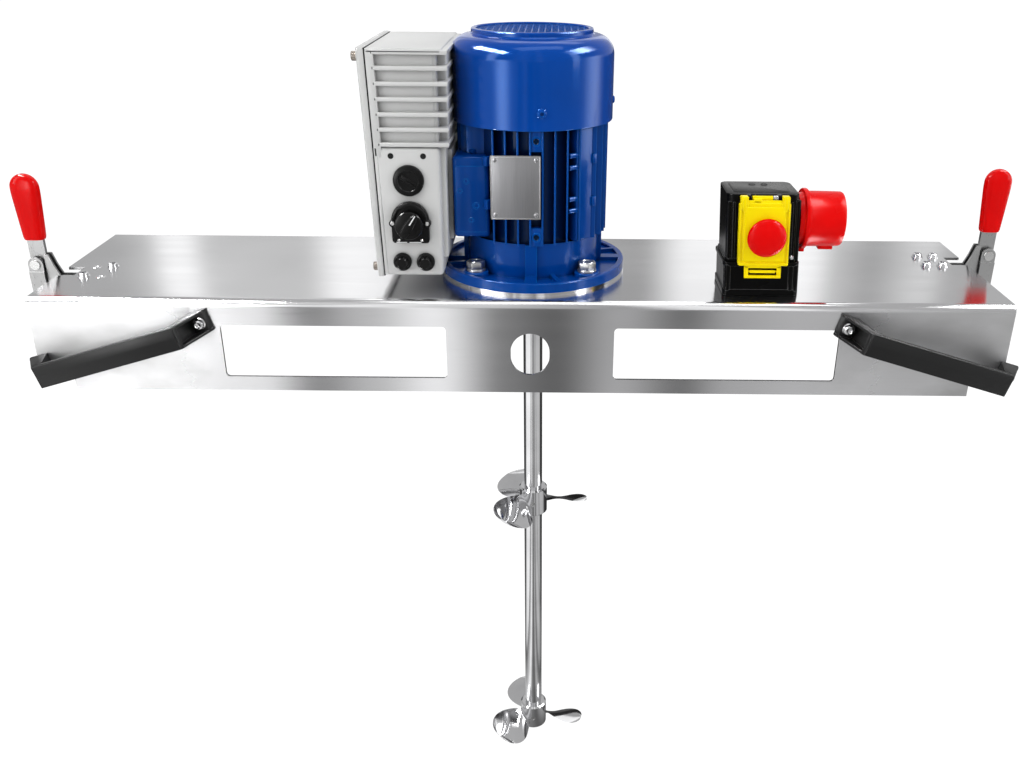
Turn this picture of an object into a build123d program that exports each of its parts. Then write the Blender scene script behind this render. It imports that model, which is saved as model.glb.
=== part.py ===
"""Bulk container agitator: a steel bridge that clamps across a container and carries a flange motor,
its frequency inverter, a motor switch, and a long stirrer shaft with two propellers.

The origin is on the stirrer shaft's axis, at the level of the container rails that the bridge rests on.
X runs along the bridge, Z is up, and the side with the controls faces -Y. All sizes are millimetres.
"""

import os
from math import atan, cos, degrees, pi, radians, sin, tan

from build123d import *

os.makedirs("parts", exist_ok=True)

# Fits and clearances
running_fit = 0.05
screw_clearance = 0.3
face_gap = 0.3

# Bridge: one folded sheet, open at both ends, with a panel down the front and the back
bridge_length = 1000.0
bridge_depth = 235.0
bridge_shift = -9.0
panel_height = 100.0
sheet = 3.0
bend_radius = 8.0
rail_notch_width = 34.0
rail_notch_height = 22.0
rail_notch_corner = 4.0
window_width = 230.0
window_height = 57.0
window_corner = 4.0
window_inner_edge = 86.0
window_below_top = 27.5
hole_width = 40.0
hole_height = 46.0
hole_below_top = 57.0

# Carrying handles, tilted on the panels
handle_length = 197.0
handle_start = 318.0
handle_shift = -6.0
handle_below_top = 20.0
handle_tilt = 16.6
handle_reach = 42.0
handle_rake = 22.0
handle_height = 24.0
handle_bar = 8.0
handle_wall = 3.0
handle_foot = 19.0
handle_screw_inset = 9.5
handle_floor = 8.0
handle_pocket_width = 15.0

# M6 fasteners of the handles and clamps
m6 = 6.0
m6_head = 10.0
m6_head_height = 6.0
m6_socket = 5.0
m6_button_head = 10.5
m6_button_height = 3.3
m6_nut_width = 10.0
m6_nut_height = 5.0
thread_end = 1.5

# Toggle clamps, one at each end, on opposite sides of the middle
clamp_offset = 31.5
clamp_notch_depth = 18.0
clamp_notch_width = 29.0
clamp_sheet = 2.5
clamp_bolt_x = 18.0
clamp_bolt_y = 33.0
clamp_bolt_inset = 39.0
clamp_foot_length = 36.0
clamp_foot_margin = 7.5
clamp_ear_drop = 24.0
clamp_ear_rise = 20.0
clamp_ear_neck = 6.0
lever_thickness = 5.0
lever_width = 17.0
lever_out = 22.0
pivot_drop = 8.0
pivot_pin = 6.0
pivot_boss = 11.0
hook_pin_rise = 9.6
hook_pin_out = 23.5
hook_pin_shoulder = 10.0
rivet_head = 11.0
rivet_head_height = 1.6
strap_width = 16.0
strap_step = 1.2
strap_step_height = 2.0
rail_height = 30.0
jaw_reach = 45.0
jaw_thickness = 4.0
pad_thickness = 2.5
pad_length = 22.0
grip_from = 36.0
grip_length = 70.0
grip_foot_width = 22.0
grip_top_width = 29.0
grip_thickness = 14.0

# Motor, shaft downwards, with a flange at its lower end
seat_ring_height = 3.0
flange_diameter = 200.0
flange_rim = 10.5
flange_floor = 6.5
flange_rim_width = 6.0
flange_bolt_gap = 1.5
flange_bolt = 10.0
flange_bolt_head = 16.0
flange_bolt_head_height = 6.4
flange_washer = 20.0
flange_washer_height = 2.0
flange_nut_height = 8.0
flange_boss = 25.0
flange_boss_height = 5.0
spigot_diameter = 130.0
spigot_depth = 2.5
shield_radius = 71.0
shield_height = 46.0
shield_wall = 6.0
frame_bore = 60.0
frame_wall = 6.0
frame_height = 117.0
fin_radius = 79.5
fin_thickness = 2.6
fin_count = 40
stator_length = 80.0
stator_below = 14.0
air_gap = 0.5
rotor_radius = 35.5
winding_height = 12.0
winding_inner = 38.0
winding_outer = 57.0
bearing_bore = 20.0
bearing_outside = 47.0
bearing_width = 14.0
bearing_ring = 4.5
ball_count = 8
drive_bearing_at = 10.5
fan_bearing_drop = 5.0
bearing_housing_wall = 8.0
motor_shaft_end = 19.0
motor_shaft_length = 40.0
fan_shield_height = 8.0
fan_shield_radius = 76.0
fan_lug_width = 14.0
fan_lug_height = 25.0
cowl_radius = 83.5
cowl_height = 83.0
cowl_sheet = 2.0
cowl_shoulder = 18.0
cowl_ring_radius = 61.5
cowl_ring_height = 6.0
cowl_screw = 5.0
cowl_screw_head = 9.5
cowl_screw_head_height = 3.0
cowl_screw_rise = 17.0
cowl_screw_angles = (-90, 0, 90)
grille_slot = 6.0
grille_pitch = 10.0
grille_slots = 5
grille_spoke = 3.5
grille_spokes = 8
fan_radius = 56.0
fan_blade_height = 20.0
fan_hub_radius = 15.0
fan_blade_count = 7
fan_bore = 14.0
terminal_box_out = 80.0
terminal_box_width = 94.0
terminal_box_height = 80.0
terminal_box_rise = 54.0
nameplate_width = 50.0
nameplate_height = 64.0
nameplate_thickness = 1.0
nameplate_rise = 75.0
nameplate_side = -15.0

# Frequency inverter on the motor's left side
inverter_outer = 165.0
inverter_bottom = 15.0
inverter_height = 224.0
inverter_depth = 164.0
inverter_cover_thickness = 8.0
inverter_draft = 1.2
inverter_inner = 86.0
inverter_wall = 4.0
inverter_adapter_width = 110.0
inverter_adapter_height = 106.0
inverter_adapter_rise = 36.0
inverter_fin_count = 7
inverter_fin_pitch = 15.3
inverter_fin_thickness = 4.8
inverter_fin_depth = 12.0
inverter_fin_over = 9.0
inverter_fin_span = 36.0
cover_bolt = 6.0
cover_bolt_head = 9.0
cover_bolt_head_height = 5.5
cover_bolt_inset = 8.0
panel_centre = 121.0
lens_spread = 32.0
lens_hole = 5.0
lens_rise = 138.0
cap_diameter = 31.0
cap_rise = 114.0
cap_height = 4.0
cap_slot = 3.0
selector_width = 38.0
selector_rise = 72.0
selector_height = 9.0
knob_diameter = 30.0
knob_height = 12.0
knob_spindle = 8.0
plug_diameter = 18.5
plug_rise = 30.5
plug_spread = 24.0
plug_height = 5.0

# Motor switch with its power inlet, on the right
switch_centre = 236.5
switch_front = 92.0
switch_width = 78.0
switch_depth = 62.0
switch_base_height = 36.0
switch_cover_height = 69.0
switch_wall = 3.0
switch_step = 2.0
switch_corner = 7.0
button_diameter = 16.0
button_travel = 2.0
button_proud = 2.0
button_flange = 19.0
button_flange_height = 2.0
button_depth = 6.5
stop_rise = 66.0
start_rise = 87.0
flap_width = 51.0
flap_height = 70.0
flap_wall = 2.0
flap_wall_clear = 8.0
flap_plate = 3.5
flap_back_gap = 6.5
flap_hinge_drop = 3.0
flap_hinge_out = 3.2
flap_barrel = 6.0
flap_pin = 3.0
flap_barrel_length = 26.0
hinge_lug = 8.0
flap_tab_width = 38.0
flap_tab_height = 11.0
mushroom_diameter = 39.0
mushroom_height = 9.0
mushroom_stem = 14.0
mushroom_travel = 2.5
inlet_rise = 73.0
inlet_radius = 28.0
inlet_wall = 3.0
inlet_neck_radius = 26.0
inlet_neck_length = 4.5
inlet_collar_radius = 31.0
inlet_collar_length = 4.0
inlet_length = 35.0
inlet_back = 4.0
inlet_pin = 5.0
inlet_pin_length = 28.0
inlet_core_height = 6.0
inlet_pin_circle = 14.0
inlet_pin_count = 5

# Stirrer shaft, its coupling sleeve and the propellers
stirrer_diameter = 22.0
stirrer_end = 655.0
sleeve_diameter = 38.0
sleeve_top = 9.0
sleeve_length = 62.0
set_screw = 6.0
hub_diameter = 34.0
hub_height = 36.0
upper_hub_below = 298.0
lower_hub_below = 637.0
propeller_radius = 66.0
propeller_pitch = 120.0
blade_count = 3
lower_turn = -12.0
blade_thickness = 3.0

# Levels and places that follow from the sizes above
plate_top = panel_height - rail_notch_height
plate_under = plate_top - sheet
panel_bottom = plate_top - panel_height
panel_face = bridge_depth / 2
bridge_ends = {-1: bridge_shift - bridge_length / 2, 1: bridge_shift + bridge_length / 2}
flange_seat = plate_top + seat_ring_height
shield_top = plate_top + shield_height
frame_top = shield_top + frame_height
m6_hole = m6 + 2 * screw_clearance
flange_bolt_circle_diameter = 2 * (shield_radius + flange_washer / 2 + flange_bolt_gap)


def save(part, name):
    """Label a finished piece and write it as a STEP file of the same name."""
    part.label = name
    export_step(part, f"parts/{name}.step")


# ---------------------------------------------------------------- bridge


def handle_plane(side, face):
    """Plane of a handle's profile: x along the handle, y out of the panel."""
    along = Vector(side * cos(radians(handle_tilt)), 0, -sin(radians(handle_tilt)))
    out = Vector(0, face, 0)
    origin = (side * handle_start + handle_shift, face * panel_face, plate_top - handle_below_top)
    return Plane(origin=origin, x_dir=along, z_dir=along.cross(out))


def foot_plane(side, face):
    """Plane on the panel under a handle: x along the handle, z out of the panel."""
    profile = handle_plane(side, face)
    return Plane(origin=profile.origin, x_dir=profile.x_dir, z_dir=profile.y_dir)


handle_screw_places = [(handle_screw_inset, 0), (handle_length - handle_screw_inset, 0)]
clamp_sides = {"left": -1, "right": 1}
clamp_bolt_places = [
    (bridge_ends[side] - side * clamp_bolt_inset, side * clamp_offset) for side in clamp_sides.values()
]
window_centre = window_inner_edge + window_width / 2
window_level = plate_top - window_below_top - window_height / 2
handle_hole_points = [
    handle_plane(side, -1).from_local_coords(Vector(along, 0, 0))
    for side in clamp_sides.values()
    for along, _ in handle_screw_places
]

with BuildPart() as bridge_channel:
    with BuildSketch(Plane.XY.offset(panel_bottom)):
        with Locations((bridge_shift, 0)):
            Rectangle(bridge_length, bridge_depth)
    extrude(amount=panel_height)
    fillet(bridge_channel.edges().filter_by(Axis.X).group_by(Axis.Z)[-1], bend_radius)
    end_faces = bridge_channel.faces().filter_by(Axis.X)
    bottom_face = bridge_channel.faces().filter_by(Axis.Z).sort_by(Axis.Z)[:1]
    offset(amount=-sheet, openings=end_faces + bottom_face)
    # windows and the access hole go through both panels
    with BuildSketch(Plane.XZ):
        with Locations((-window_centre, window_level), (window_centre, window_level)):
            RectangleRounded(window_width, window_height, window_corner)
        with Locations((0, plate_top - hole_below_top)):
            SlotOverall(hole_height, hole_width, rotation=90)
        for point in handle_hole_points:
            with Locations((point.X, point.Z)):
                Circle(m6_hole / 2)
    extrude(amount=bridge_depth, both=True, mode=Mode.SUBTRACT)
    # the lower corners are stepped to sit on the rails
    with BuildSketch(Plane.XZ):
        for side in clamp_sides.values():
            with Locations((bridge_ends[side], panel_bottom)):
                RectangleRounded(2 * rail_notch_width, 2 * rail_notch_height, rail_notch_corner)
    extrude(amount=bridge_depth, both=True, mode=Mode.SUBTRACT)
    # end notches and bolt holes of the clamps, motor opening
    with BuildSketch(Plane.XY.offset(plate_under - sheet)):
        for side in clamp_sides.values():
            with Locations((bridge_ends[side], side * clamp_offset)):
                Rectangle(2 * clamp_notch_depth, clamp_notch_width)
        with Locations(*clamp_bolt_places):
            with GridLocations(clamp_bolt_x, clamp_bolt_y, 2, 2):
                Circle(m6_hole / 2)
        Circle(spigot_diameter / 2 + screw_clearance)
        with PolarLocations(flange_bolt_circle_diameter / 2, 4, 45):
            Circle(flange_bolt / 2 + screw_clearance)
    extrude(amount=3 * sheet, mode=Mode.SUBTRACT)
save(bridge_channel.part, "bridge_channel")

with BuildPart() as seat_ring:
    with BuildSketch(Plane.XY.offset(plate_top)):
        Circle(flange_diameter / 2)
        Circle(spigot_diameter / 2 + screw_clearance, mode=Mode.SUBTRACT)
        with PolarLocations(flange_bolt_circle_diameter / 2, 4, 45):
            Circle(flange_bolt / 2 + screw_clearance, mode=Mode.SUBTRACT)
    extrude(amount=seat_ring_height)
save(seat_ring.part, "motor_seat_ring")


def make_handle(side, face):
    """A moulded bridge handle with raked legs and a screw pocket in each leg."""
    plane = handle_plane(side, face)
    far = handle_length
    leg = handle_foot - handle_rake / 2
    with BuildPart() as handle:
        with BuildSketch(plane):
            with BuildLine():
                Polyline(
                    (0, 0),
                    (0, 3),
                    (handle_rake, handle_reach),
                    (far - handle_rake, handle_reach),
                    (far, 3),
                    (far, 0),
                    (far - handle_foot, 0),
                    (far - handle_rake - leg, handle_reach - handle_bar),
                    (handle_rake + leg, handle_reach - handle_bar),
                    (handle_foot, 0),
                    close=True,
                )
            make_face()
        extrude(amount=handle_height / 2, both=True)
        long_edges = handle.edges().filter_by(GeomType.LINE).filter_by(
            lambda edge: abs(edge.length - (far - 2 * handle_rake)) < 1
        )
        fillet(long_edges, 2.5)
        # one pocket in each leg, open outwards, with a flat floor for the screw head
        floor = handle_floor
        wall = handle_foot - handle_wall
        pocket_end = handle_rake + leg - handle_wall
        pocket_top = handle_reach - handle_bar - 1
        with BuildSketch(plane):
            with BuildLine():
                Polyline(
                    (-handle_wall, floor),
                    (wall, floor),
                    (pocket_end, pocket_top),
                    (handle_rake - handle_wall, pocket_top + handle_wall),
                    close=True,
                )
            make_face()
            with BuildLine():
                Polyline(
                    (far + handle_wall, floor),
                    (far - wall, floor),
                    (far - pocket_end, pocket_top),
                    (far - handle_rake + handle_wall, pocket_top + handle_wall),
                    close=True,
                )
            make_face()
        extrude(amount=handle_pocket_width / 2, both=True, mode=Mode.SUBTRACT)
        with Locations(foot_plane(side, face)):
            with Locations(*handle_screw_places):
                Cylinder(
                    m6_hole / 2,
                    handle_floor,
                    align=(Align.CENTER, Align.CENTER, Align.MIN),
                    mode=Mode.SUBTRACT,
                )
    return handle.part


handle_places = {
    "front_left": (-1, -1),
    "front_right": (1, -1),
    "rear_left": (-1, 1),
    "rear_right": (1, 1),
}
for place_name, (side, face) in handle_places.items():
    save(make_handle(side, face), f"handle_{place_name}")


def screw(plane, places, size, head, head_height, length, socket=0.0, rounded=False):
    """Screws with the head standing on the plane and the shank going down from it."""
    with BuildPart() as screws:
        with Locations(plane):
            with Locations(*places):
                Cylinder(size / 2, length, align=(Align.CENTER, Align.CENTER, Align.MAX))
                Cylinder(head / 2, head_height, align=(Align.CENTER, Align.CENTER, Align.MIN))
        if rounded:
            crowns = screws.faces().filter_by(Axis.Z).group_by(Axis.Z)[-1].edges()
            fillet(crowns, head_height * 0.6)
        if socket:
            with BuildSketch(plane.offset(head_height)):
                with Locations(*places):
                    RegularPolygon(socket / 2, 6, major_radius=False)
            extrude(amount=-head_height * 0.6, mode=Mode.SUBTRACT)
    return screws.part


def nut(plane, places, bore, width, height):
    """Hexagon nuts hanging under the plane."""
    with BuildPart() as nuts:
        with BuildSketch(plane):
            with Locations(*places):
                RegularPolygon(width / 2, 6, major_radius=False)
                Circle(bore / 2, mode=Mode.SUBTRACT)
        extrude(amount=-height)
    return nuts.part


# Handle screws stand on the pocket floors, with their nuts behind the panels
handle_screws = []
panel_nuts = []
for side, face in handle_places.values():
    on_panel = foot_plane(side, face)
    handle_screws += screw(
        on_panel.offset(handle_floor),
        handle_screw_places,
        m6,
        m6_head,
        m6_head_height,
        handle_floor + sheet + m6_nut_height + thread_end,
        m6_socket,
    ).solids()
    panel_nuts += nut(on_panel.offset(-sheet), handle_screw_places, m6, m6_nut_width, m6_nut_height).solids()
save(Compound(handle_screws), "handle_screws")

# ---------------------------------------------------------------- toggle clamps

# Clamp profile coordinates: out from the bridge's end, and up from the plate's top
pivot = (lever_out - 1.0, -pivot_drop)
hook_pin = (hook_pin_out, hook_pin_rise)
ear_inner = lever_thickness / 2 + running_fit + 0.45
ear_outer = ear_inner + clamp_sheet
strap_inner = ear_outer + 0.7
strap_outer = strap_inner + strap_step + clamp_sheet
jaw_top = -(panel_height - rail_notch_height) - rail_height - pad_thickness - face_gap
clamp_foot_out = -(clamp_bolt_inset - clamp_foot_length / 2)
clamp_foot_in = clamp_foot_out - clamp_foot_length
clamp_foot_half = clamp_bolt_y / 2 + clamp_foot_margin


def clamp_plane(side):
    """Middle plane of a clamp: x out from the bridge's end, y up from the plate's top."""
    origin = (bridge_ends[side], side * clamp_offset, plate_top)
    return Plane(origin=origin, x_dir=(side, 0, 0), z_dir=(0, -side, 0))


def make_ears(side):
    """Two stamped halves with feet bolted under the plate; their ears hold the lever's pivot."""
    middle = clamp_plane(side)
    with BuildPart() as ears:
        for hand in (1, -1):
            with BuildSketch(middle.offset(hand * ear_inner)):
                with BuildLine():
                    Polyline(
                        (clamp_foot_in, -sheet),
                        (1, -sheet),
                        (clamp_ear_neck, clamp_ear_rise * 0.4),
                        (clamp_ear_neck + 4, clamp_ear_rise),
                        (clamp_ear_neck + 8, clamp_ear_rise),
                        (pivot[0] - 7, pivot[1] + pivot_boss),
                        (pivot[0], pivot[1] + pivot_boss),
                        (pivot[0], pivot[1] - pivot_boss),
                        (14, -clamp_ear_drop),
                        (clamp_foot_in, -clamp_ear_drop),
                        close=True,
                    )
                make_face()
                with Locations(pivot):
                    Circle(pivot_boss)
                    Circle(pivot_pin / 2, mode=Mode.SUBTRACT)
            extrude(amount=hand * clamp_sheet)
            foot_middle = (ear_inner + clamp_foot_half) / 2
            with Locations(middle):
                with Locations(
                    (
                        (clamp_foot_in + clamp_foot_out) / 2,
                        -sheet - clamp_sheet / 2,
                        hand * foot_middle,
                    )
                ):
                    Box(clamp_foot_length, clamp_sheet, clamp_foot_half - ear_inner)
        with Locations(Plane.XY.offset(plate_under)):
            with Locations((bridge_ends[side] - side * clamp_bolt_inset, side * clamp_offset)):
                with GridLocations(clamp_bolt_x, clamp_bolt_y, 2, 2):
                    Cylinder(m6_hole / 2, 4 * clamp_sheet, mode=Mode.SUBTRACT)
    return ears.part


def make_pin(side, place, length, shoulder=0.0, shoulder_span=(0.0, 0.0), head_at=0.0):
    """A pin across the clamp, with shoulders and rivet heads where they are asked for."""
    middle = clamp_plane(side)
    with BuildPart() as pin:
        with BuildSketch(middle):
            with Locations(place):
                Circle(pivot_pin / 2)
        extrude(amount=length / 2, both=True)
        if shoulder:
            for hand in (1, -1):
                with BuildSketch(middle.offset(hand * shoulder_span[0])):
                    with Locations(place):
                        Circle(shoulder / 2)
                extrude(amount=hand * (shoulder_span[1] - shoulder_span[0]))
        if head_at:
            for hand in (1, -1):
                with BuildSketch(middle.offset(hand * head_at)):
                    with Locations(place):
                        Circle(rivet_head / 2)
                extrude(amount=hand * rivet_head_height, taper=12)
    return pin.part


def make_lever(side):
    """The flat lever, from its pivot up into the grip."""
    lever_top = grip_from + grip_length - grip_top_width / 2
    lever_middle = (lever_top + pivot[1]) / 2
    with BuildPart() as lever:
        with BuildSketch(clamp_plane(side)):
            with Locations((lever_out, lever_middle)):
                Rectangle(lever_width, lever_top - pivot[1])
            with Locations((lever_out, pivot[1])):
                Circle(lever_width / 2)
            with Locations(pivot):
                Circle(pivot_pin / 2 + running_fit, mode=Mode.SUBTRACT)
            with Locations(hook_pin):
                Circle(pivot_pin / 2, mode=Mode.SUBTRACT)
        extrude(amount=lever_thickness / 2, both=True)
    return lever.part


def make_grip(side, lever):
    """The dipped grip: a tapered paddle with a round top, fitted over the lever."""
    shoulder = grip_from + grip_length - grip_top_width / 2
    with BuildPart() as grip:
        with BuildSketch(clamp_plane(side)):
            with BuildLine():
                Polyline(
                    (lever_out - grip_foot_width / 2, grip_from),
                    (lever_out + grip_foot_width / 2, grip_from),
                    (lever_out + grip_top_width / 2, shoulder),
                    (lever_out - grip_top_width / 2, shoulder),
                    close=True,
                )
            make_face()
            with Locations((lever_out, shoulder)):
                Circle(grip_top_width / 2)
        extrude(amount=grip_thickness / 2, both=True)
        rims = grip.faces().filter_by(Axis.Y).edges()
        fillet(rims, grip_thickness * 0.36)
        add(lever, mode=Mode.SUBTRACT)
    return grip.part


def make_hook(side):
    """The hook: two straps beside the lever, joined below by a web and the jaw."""
    middle = clamp_plane(side)
    step_level = strap_step_height
    foot_level = jaw_top - jaw_thickness
    with BuildPart() as hook:
        for hand in (1, -1):
            with BuildSketch(middle.offset(hand * strap_inner)):
                with Locations((hook_pin_out, (hook_pin_rise + step_level) / 2)):
                    Rectangle(strap_width, hook_pin_rise - step_level)
                with Locations(hook_pin):
                    Circle(strap_width / 2)
            extrude(amount=hand * clamp_sheet)
            with BuildSketch(middle.offset(hand * (strap_inner + strap_step))):
                with Locations((hook_pin_out, (foot_level + step_level) / 2)):
                    Rectangle(strap_width, step_level - foot_level)
            extrude(amount=hand * clamp_sheet)
        with Locations(middle):
            with Locations((hook_pin_out + strap_width / 2, foot_level)):
                Box(
                    clamp_sheet,
                    -foot_level / 2,
                    2 * strap_outer,
                    align=(Align.MAX, Align.MIN, Align.CENTER),
                )
            with Locations((hook_pin_out + strap_width / 2, foot_level)):
                Box(
                    jaw_reach + strap_width / 2,
                    jaw_thickness,
                    2 * strap_outer,
                    align=(Align.MAX, Align.MIN, Align.CENTER),
                )
        with BuildSketch(middle):
            with Locations(hook_pin):
                Circle(pivot_pin / 2 + running_fit)
        extrude(amount=2 * strap_outer, both=True, mode=Mode.SUBTRACT)
    return hook.part


def make_pad(side):
    """The rubber pad on the jaw that bears on the rail's underside."""
    with BuildPart() as pad:
        with Locations(clamp_plane(side)):
            with Locations((hook_pin_out - jaw_reach, jaw_top)):
                Box(
                    pad_length,
                    pad_thickness,
                    2 * strap_outer,
                    align=(Align.MIN, Align.MIN, Align.CENTER),
                )
        fillet(pad.edges().filter_by(Axis.Y).group_by(Axis.Z)[-1], pad_thickness / 3)
    return pad.part


clamp_screws = []
clamp_nuts = []
for side_name, side in clamp_sides.items():
    save(make_ears(side), f"{side_name}_clamp_ears")
    save(make_pin(side, pivot, 2 * ear_outer), f"{side_name}_pivot_pin")
    lever_part = make_lever(side)
    save(lever_part, f"{side_name}_lever")
    save(make_grip(side, lever_part), f"{side_name}_grip")
    rivet_at = strap_inner + clamp_sheet + 2 * running_fit
    save(
        make_pin(
            side,
            hook_pin,
            2 * rivet_at,
            hook_pin_shoulder,
            (lever_thickness / 2, strap_inner - 2 * running_fit),
            rivet_at,
        ),
        f"{side_name}_hook_pin",
    )
    save(make_hook(side), f"{side_name}_hook")
    save(make_pad(side), f"{side_name}_jaw_pad")
    bolt_middle = (bridge_ends[side] - side * clamp_bolt_inset, side * clamp_offset)
    bolt_places = [
        (bolt_middle[0] + dx * clamp_bolt_x / 2, bolt_middle[1] + dy * clamp_bolt_y / 2)
        for dx in (-1, 1)
        for dy in (-1, 1)
    ]
    clamp_screws += screw(
        Plane.XY.offset(plate_top),
        bolt_places,
        m6,
        m6_button_head,
        m6_button_height,
        sheet + clamp_sheet + m6_nut_height + thread_end,
        m6_socket * 0.8,
        rounded=True,
    ).solids()
    clamp_nuts += nut(
        Plane.XY.offset(plate_under - clamp_sheet), bolt_places, m6, m6_nut_width, m6_nut_height
    ).solids()
save(Compound(clamp_screws), "clamp_screws")
save(Compound(panel_nuts + clamp_nuts), "m6_nuts")

# ---------------------------------------------------------------- motor

flange_places = [
    (
        flange_bolt_circle_diameter / 2 * cos(radians(angle)),
        flange_bolt_circle_diameter / 2 * sin(radians(angle)),
    )
    for angle in (45, 135, 225, 315)
]
flange_bolt_seat = flange_floor + flange_boss_height
drive_bearing_bottom = flange_seat + drive_bearing_at
drive_bearing_top = drive_bearing_bottom + bearing_width
fan_bearing_bottom = frame_top - fan_bearing_drop
fan_bearing_top = fan_bearing_bottom + bearing_width
housing_radius = bearing_outside / 2 + bearing_housing_wall
stator_bottom = shield_top + stator_below
stator_top = stator_bottom + stator_length
cowl_top = frame_top + cowl_height + cowl_ring_height

with BuildPart() as drive_shield:
    with BuildSketch(Plane.XY.offset(flange_seat)):
        Circle(flange_diameter / 2)
    extrude(amount=flange_floor)
    with BuildSketch(Plane.XY.offset(flange_seat)):
        Circle(flange_diameter / 2)
        Circle(flange_diameter / 2 - flange_rim_width, mode=Mode.SUBTRACT)
    extrude(amount=flange_rim)
    fillet(drive_shield.faces().sort_by(Axis.Z)[-1].edges(), 1.2)
    with BuildSketch(Plane.XY.offset(flange_seat - spigot_depth)):
        Circle(spigot_diameter / 2)
    extrude(amount=spigot_depth)
    # bolt seats, ribs and the deep cup up to the frame
    with BuildSketch(Plane.XY.offset(flange_seat + flange_floor)):
        with PolarLocations(flange_bolt_circle_diameter / 2, 4, 45):
            Circle(flange_boss / 2)
    extrude(amount=flange_boss_height)
    with BuildSketch(Plane.XY.offset(flange_seat + flange_floor)):
        with PolarLocations((shield_radius + flange_diameter / 2) / 2 - 2, 4, 0):
            Rectangle(flange_diameter / 2 - shield_radius, 12)
        with PolarLocations((shield_radius + flange_diameter / 2) / 2 - 2, 4, 18):
            Rectangle(flange_diameter / 2 - shield_radius, 4)
    extrude(amount=flange_rim - flange_floor)
    # the bolt seats are spot-faced, so that the rim and ribs stay clear of the washers
    with BuildSketch(Plane.XY.offset(flange_seat + flange_bolt_seat)):
        with Locations(*flange_places):
            Circle(flange_washer / 2 + face_gap)
    extrude(amount=flange_rim, mode=Mode.SUBTRACT)
    with BuildSketch(Plane.XY.offset(flange_seat)):
        Circle(shield_radius)
        with PolarLocations(shield_radius, 4, 0):
            Rectangle(8, 12)
        Circle(shield_radius - shield_wall, mode=Mode.SUBTRACT)
    extrude(amount=shield_top - flange_seat)
    with BuildSketch(Plane.XY.offset(flange_seat)):
        Circle(housing_radius)
    extrude(amount=drive_bearing_top - flange_seat)
    # bearing seat, shaft bore and bolt holes
    with BuildSketch(Plane.XY.offset(drive_bearing_bottom)):
        Circle(bearing_outside / 2)
    extrude(amount=bearing_width + 1, mode=Mode.SUBTRACT)
    with BuildSketch(Plane.XY.offset(flange_seat - spigot_depth)):
        Circle(bearing_bore / 2 + 2.0)
        with PolarLocations(flange_bolt_circle_diameter / 2, 4, 45):
            Circle(flange_bolt / 2 + screw_clearance)
    extrude(amount=spigot_depth + flange_rim + 5, mode=Mode.SUBTRACT)
save(drive_shield.part, "drive_end_shield")

grip_length_bolt = flange_bolt_seat + flange_washer_height + seat_ring_height + sheet
with BuildPart() as flange_bolts:
    with BuildSketch(Plane.XY.offset(flange_seat + flange_bolt_seat + flange_washer_height)):
        with Locations(*flange_places):
            RegularPolygon(flange_bolt_head / 2, 6, major_radius=False, rotation=15)
    extrude(amount=flange_bolt_head_height)
    with BuildSketch(Plane.XY.offset(flange_seat + flange_bolt_seat + flange_washer_height)):
        with Locations(*flange_places):
            Circle(flange_bolt / 2)
    extrude(amount=-(grip_length_bolt + flange_nut_height + thread_end))
save(flange_bolts.part, "flange_bolts")

with BuildPart() as flange_washers:
    with BuildSketch(Plane.XY.offset(flange_seat + flange_bolt_seat)):
        with Locations(*flange_places):
            Circle(flange_washer / 2)
            Circle(flange_bolt / 2 + screw_clearance, mode=Mode.SUBTRACT)
    extrude(amount=flange_washer_height)
save(flange_washers.part, "flange_washers")
save(
    nut(Plane.XY.offset(plate_under), flange_places, flange_bolt, flange_bolt_head, flange_nut_height),
    "flange_nuts",
)

box_out = terminal_box_out
box_in = frame_bore
with BuildPart() as motor_frame:
    with BuildSketch(Plane.XY.offset(shield_top)):
        with PolarLocations((frame_bore + fin_radius) / 2, fin_count):
            Rectangle(fin_radius - frame_bore, fin_thickness)
        with PolarLocations((frame_bore + fin_radius) / 2 - 1, 4, 0):
            Rectangle(fin_radius - frame_bore - 2, 11)
        Circle(frame_bore + 1, mode=Mode.SUBTRACT)
    extrude(amount=frame_height)
    with Locations((-box_out, 0, plate_top + terminal_box_rise)):
        Box(
            2 * (box_out - frame_bore * 0.6),
            terminal_box_width + 1,
            terminal_box_height + 1,
            align=(Align.CENTER, Align.CENTER, Align.MIN),
            mode=Mode.SUBTRACT,
        )
    with BuildSketch(Plane.XY.offset(shield_top)):
        Circle(frame_bore + frame_wall)
    extrude(amount=frame_height)
    with BuildSketch(Plane.XY.offset(shield_top)):
        Circle(frame_bore)
    extrude(amount=frame_height, mode=Mode.SUBTRACT)
    # a flat pad behind the nameplate
    with Locations(
        (nameplate_side, -fin_radius, plate_top + nameplate_rise + nameplate_height / 2)
    ):
        Box(
            nameplate_width - 4,
            fin_radius - frame_bore,
            nameplate_height - 4,
            align=(Align.CENTER, Align.MIN, Align.CENTER),
        )
    with BuildSketch(Plane.XY.offset(shield_top)):
        Circle(frame_bore)
    extrude(amount=frame_height, mode=Mode.SUBTRACT)
save(motor_frame.part, "motor_frame")

with BuildPart() as nameplate:
    with Locations(
        (nameplate_side, -fin_radius, plate_top + nameplate_rise + nameplate_height / 2)
    ):
        Box(
            nameplate_width,
            nameplate_thickness,
            nameplate_height,
            align=(Align.CENTER, Align.MAX, Align.CENTER),
        )
save(nameplate.part, "nameplate")

with BuildPart() as stator:
    with BuildSketch(Plane.XY.offset(stator_bottom)):
        Circle(frame_bore)
        Circle(rotor_radius + air_gap, mode=Mode.SUBTRACT)
    extrude(amount=stator_length)
    for level, direction in ((stator_bottom, -1), (stator_top, 1)):
        with BuildSketch(Plane.XY.offset(level)):
            Circle(winding_outer)
            Circle(winding_inner, mode=Mode.SUBTRACT)
        extrude(amount=direction * winding_height, taper=8)
save(stator.part, "stator")

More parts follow.
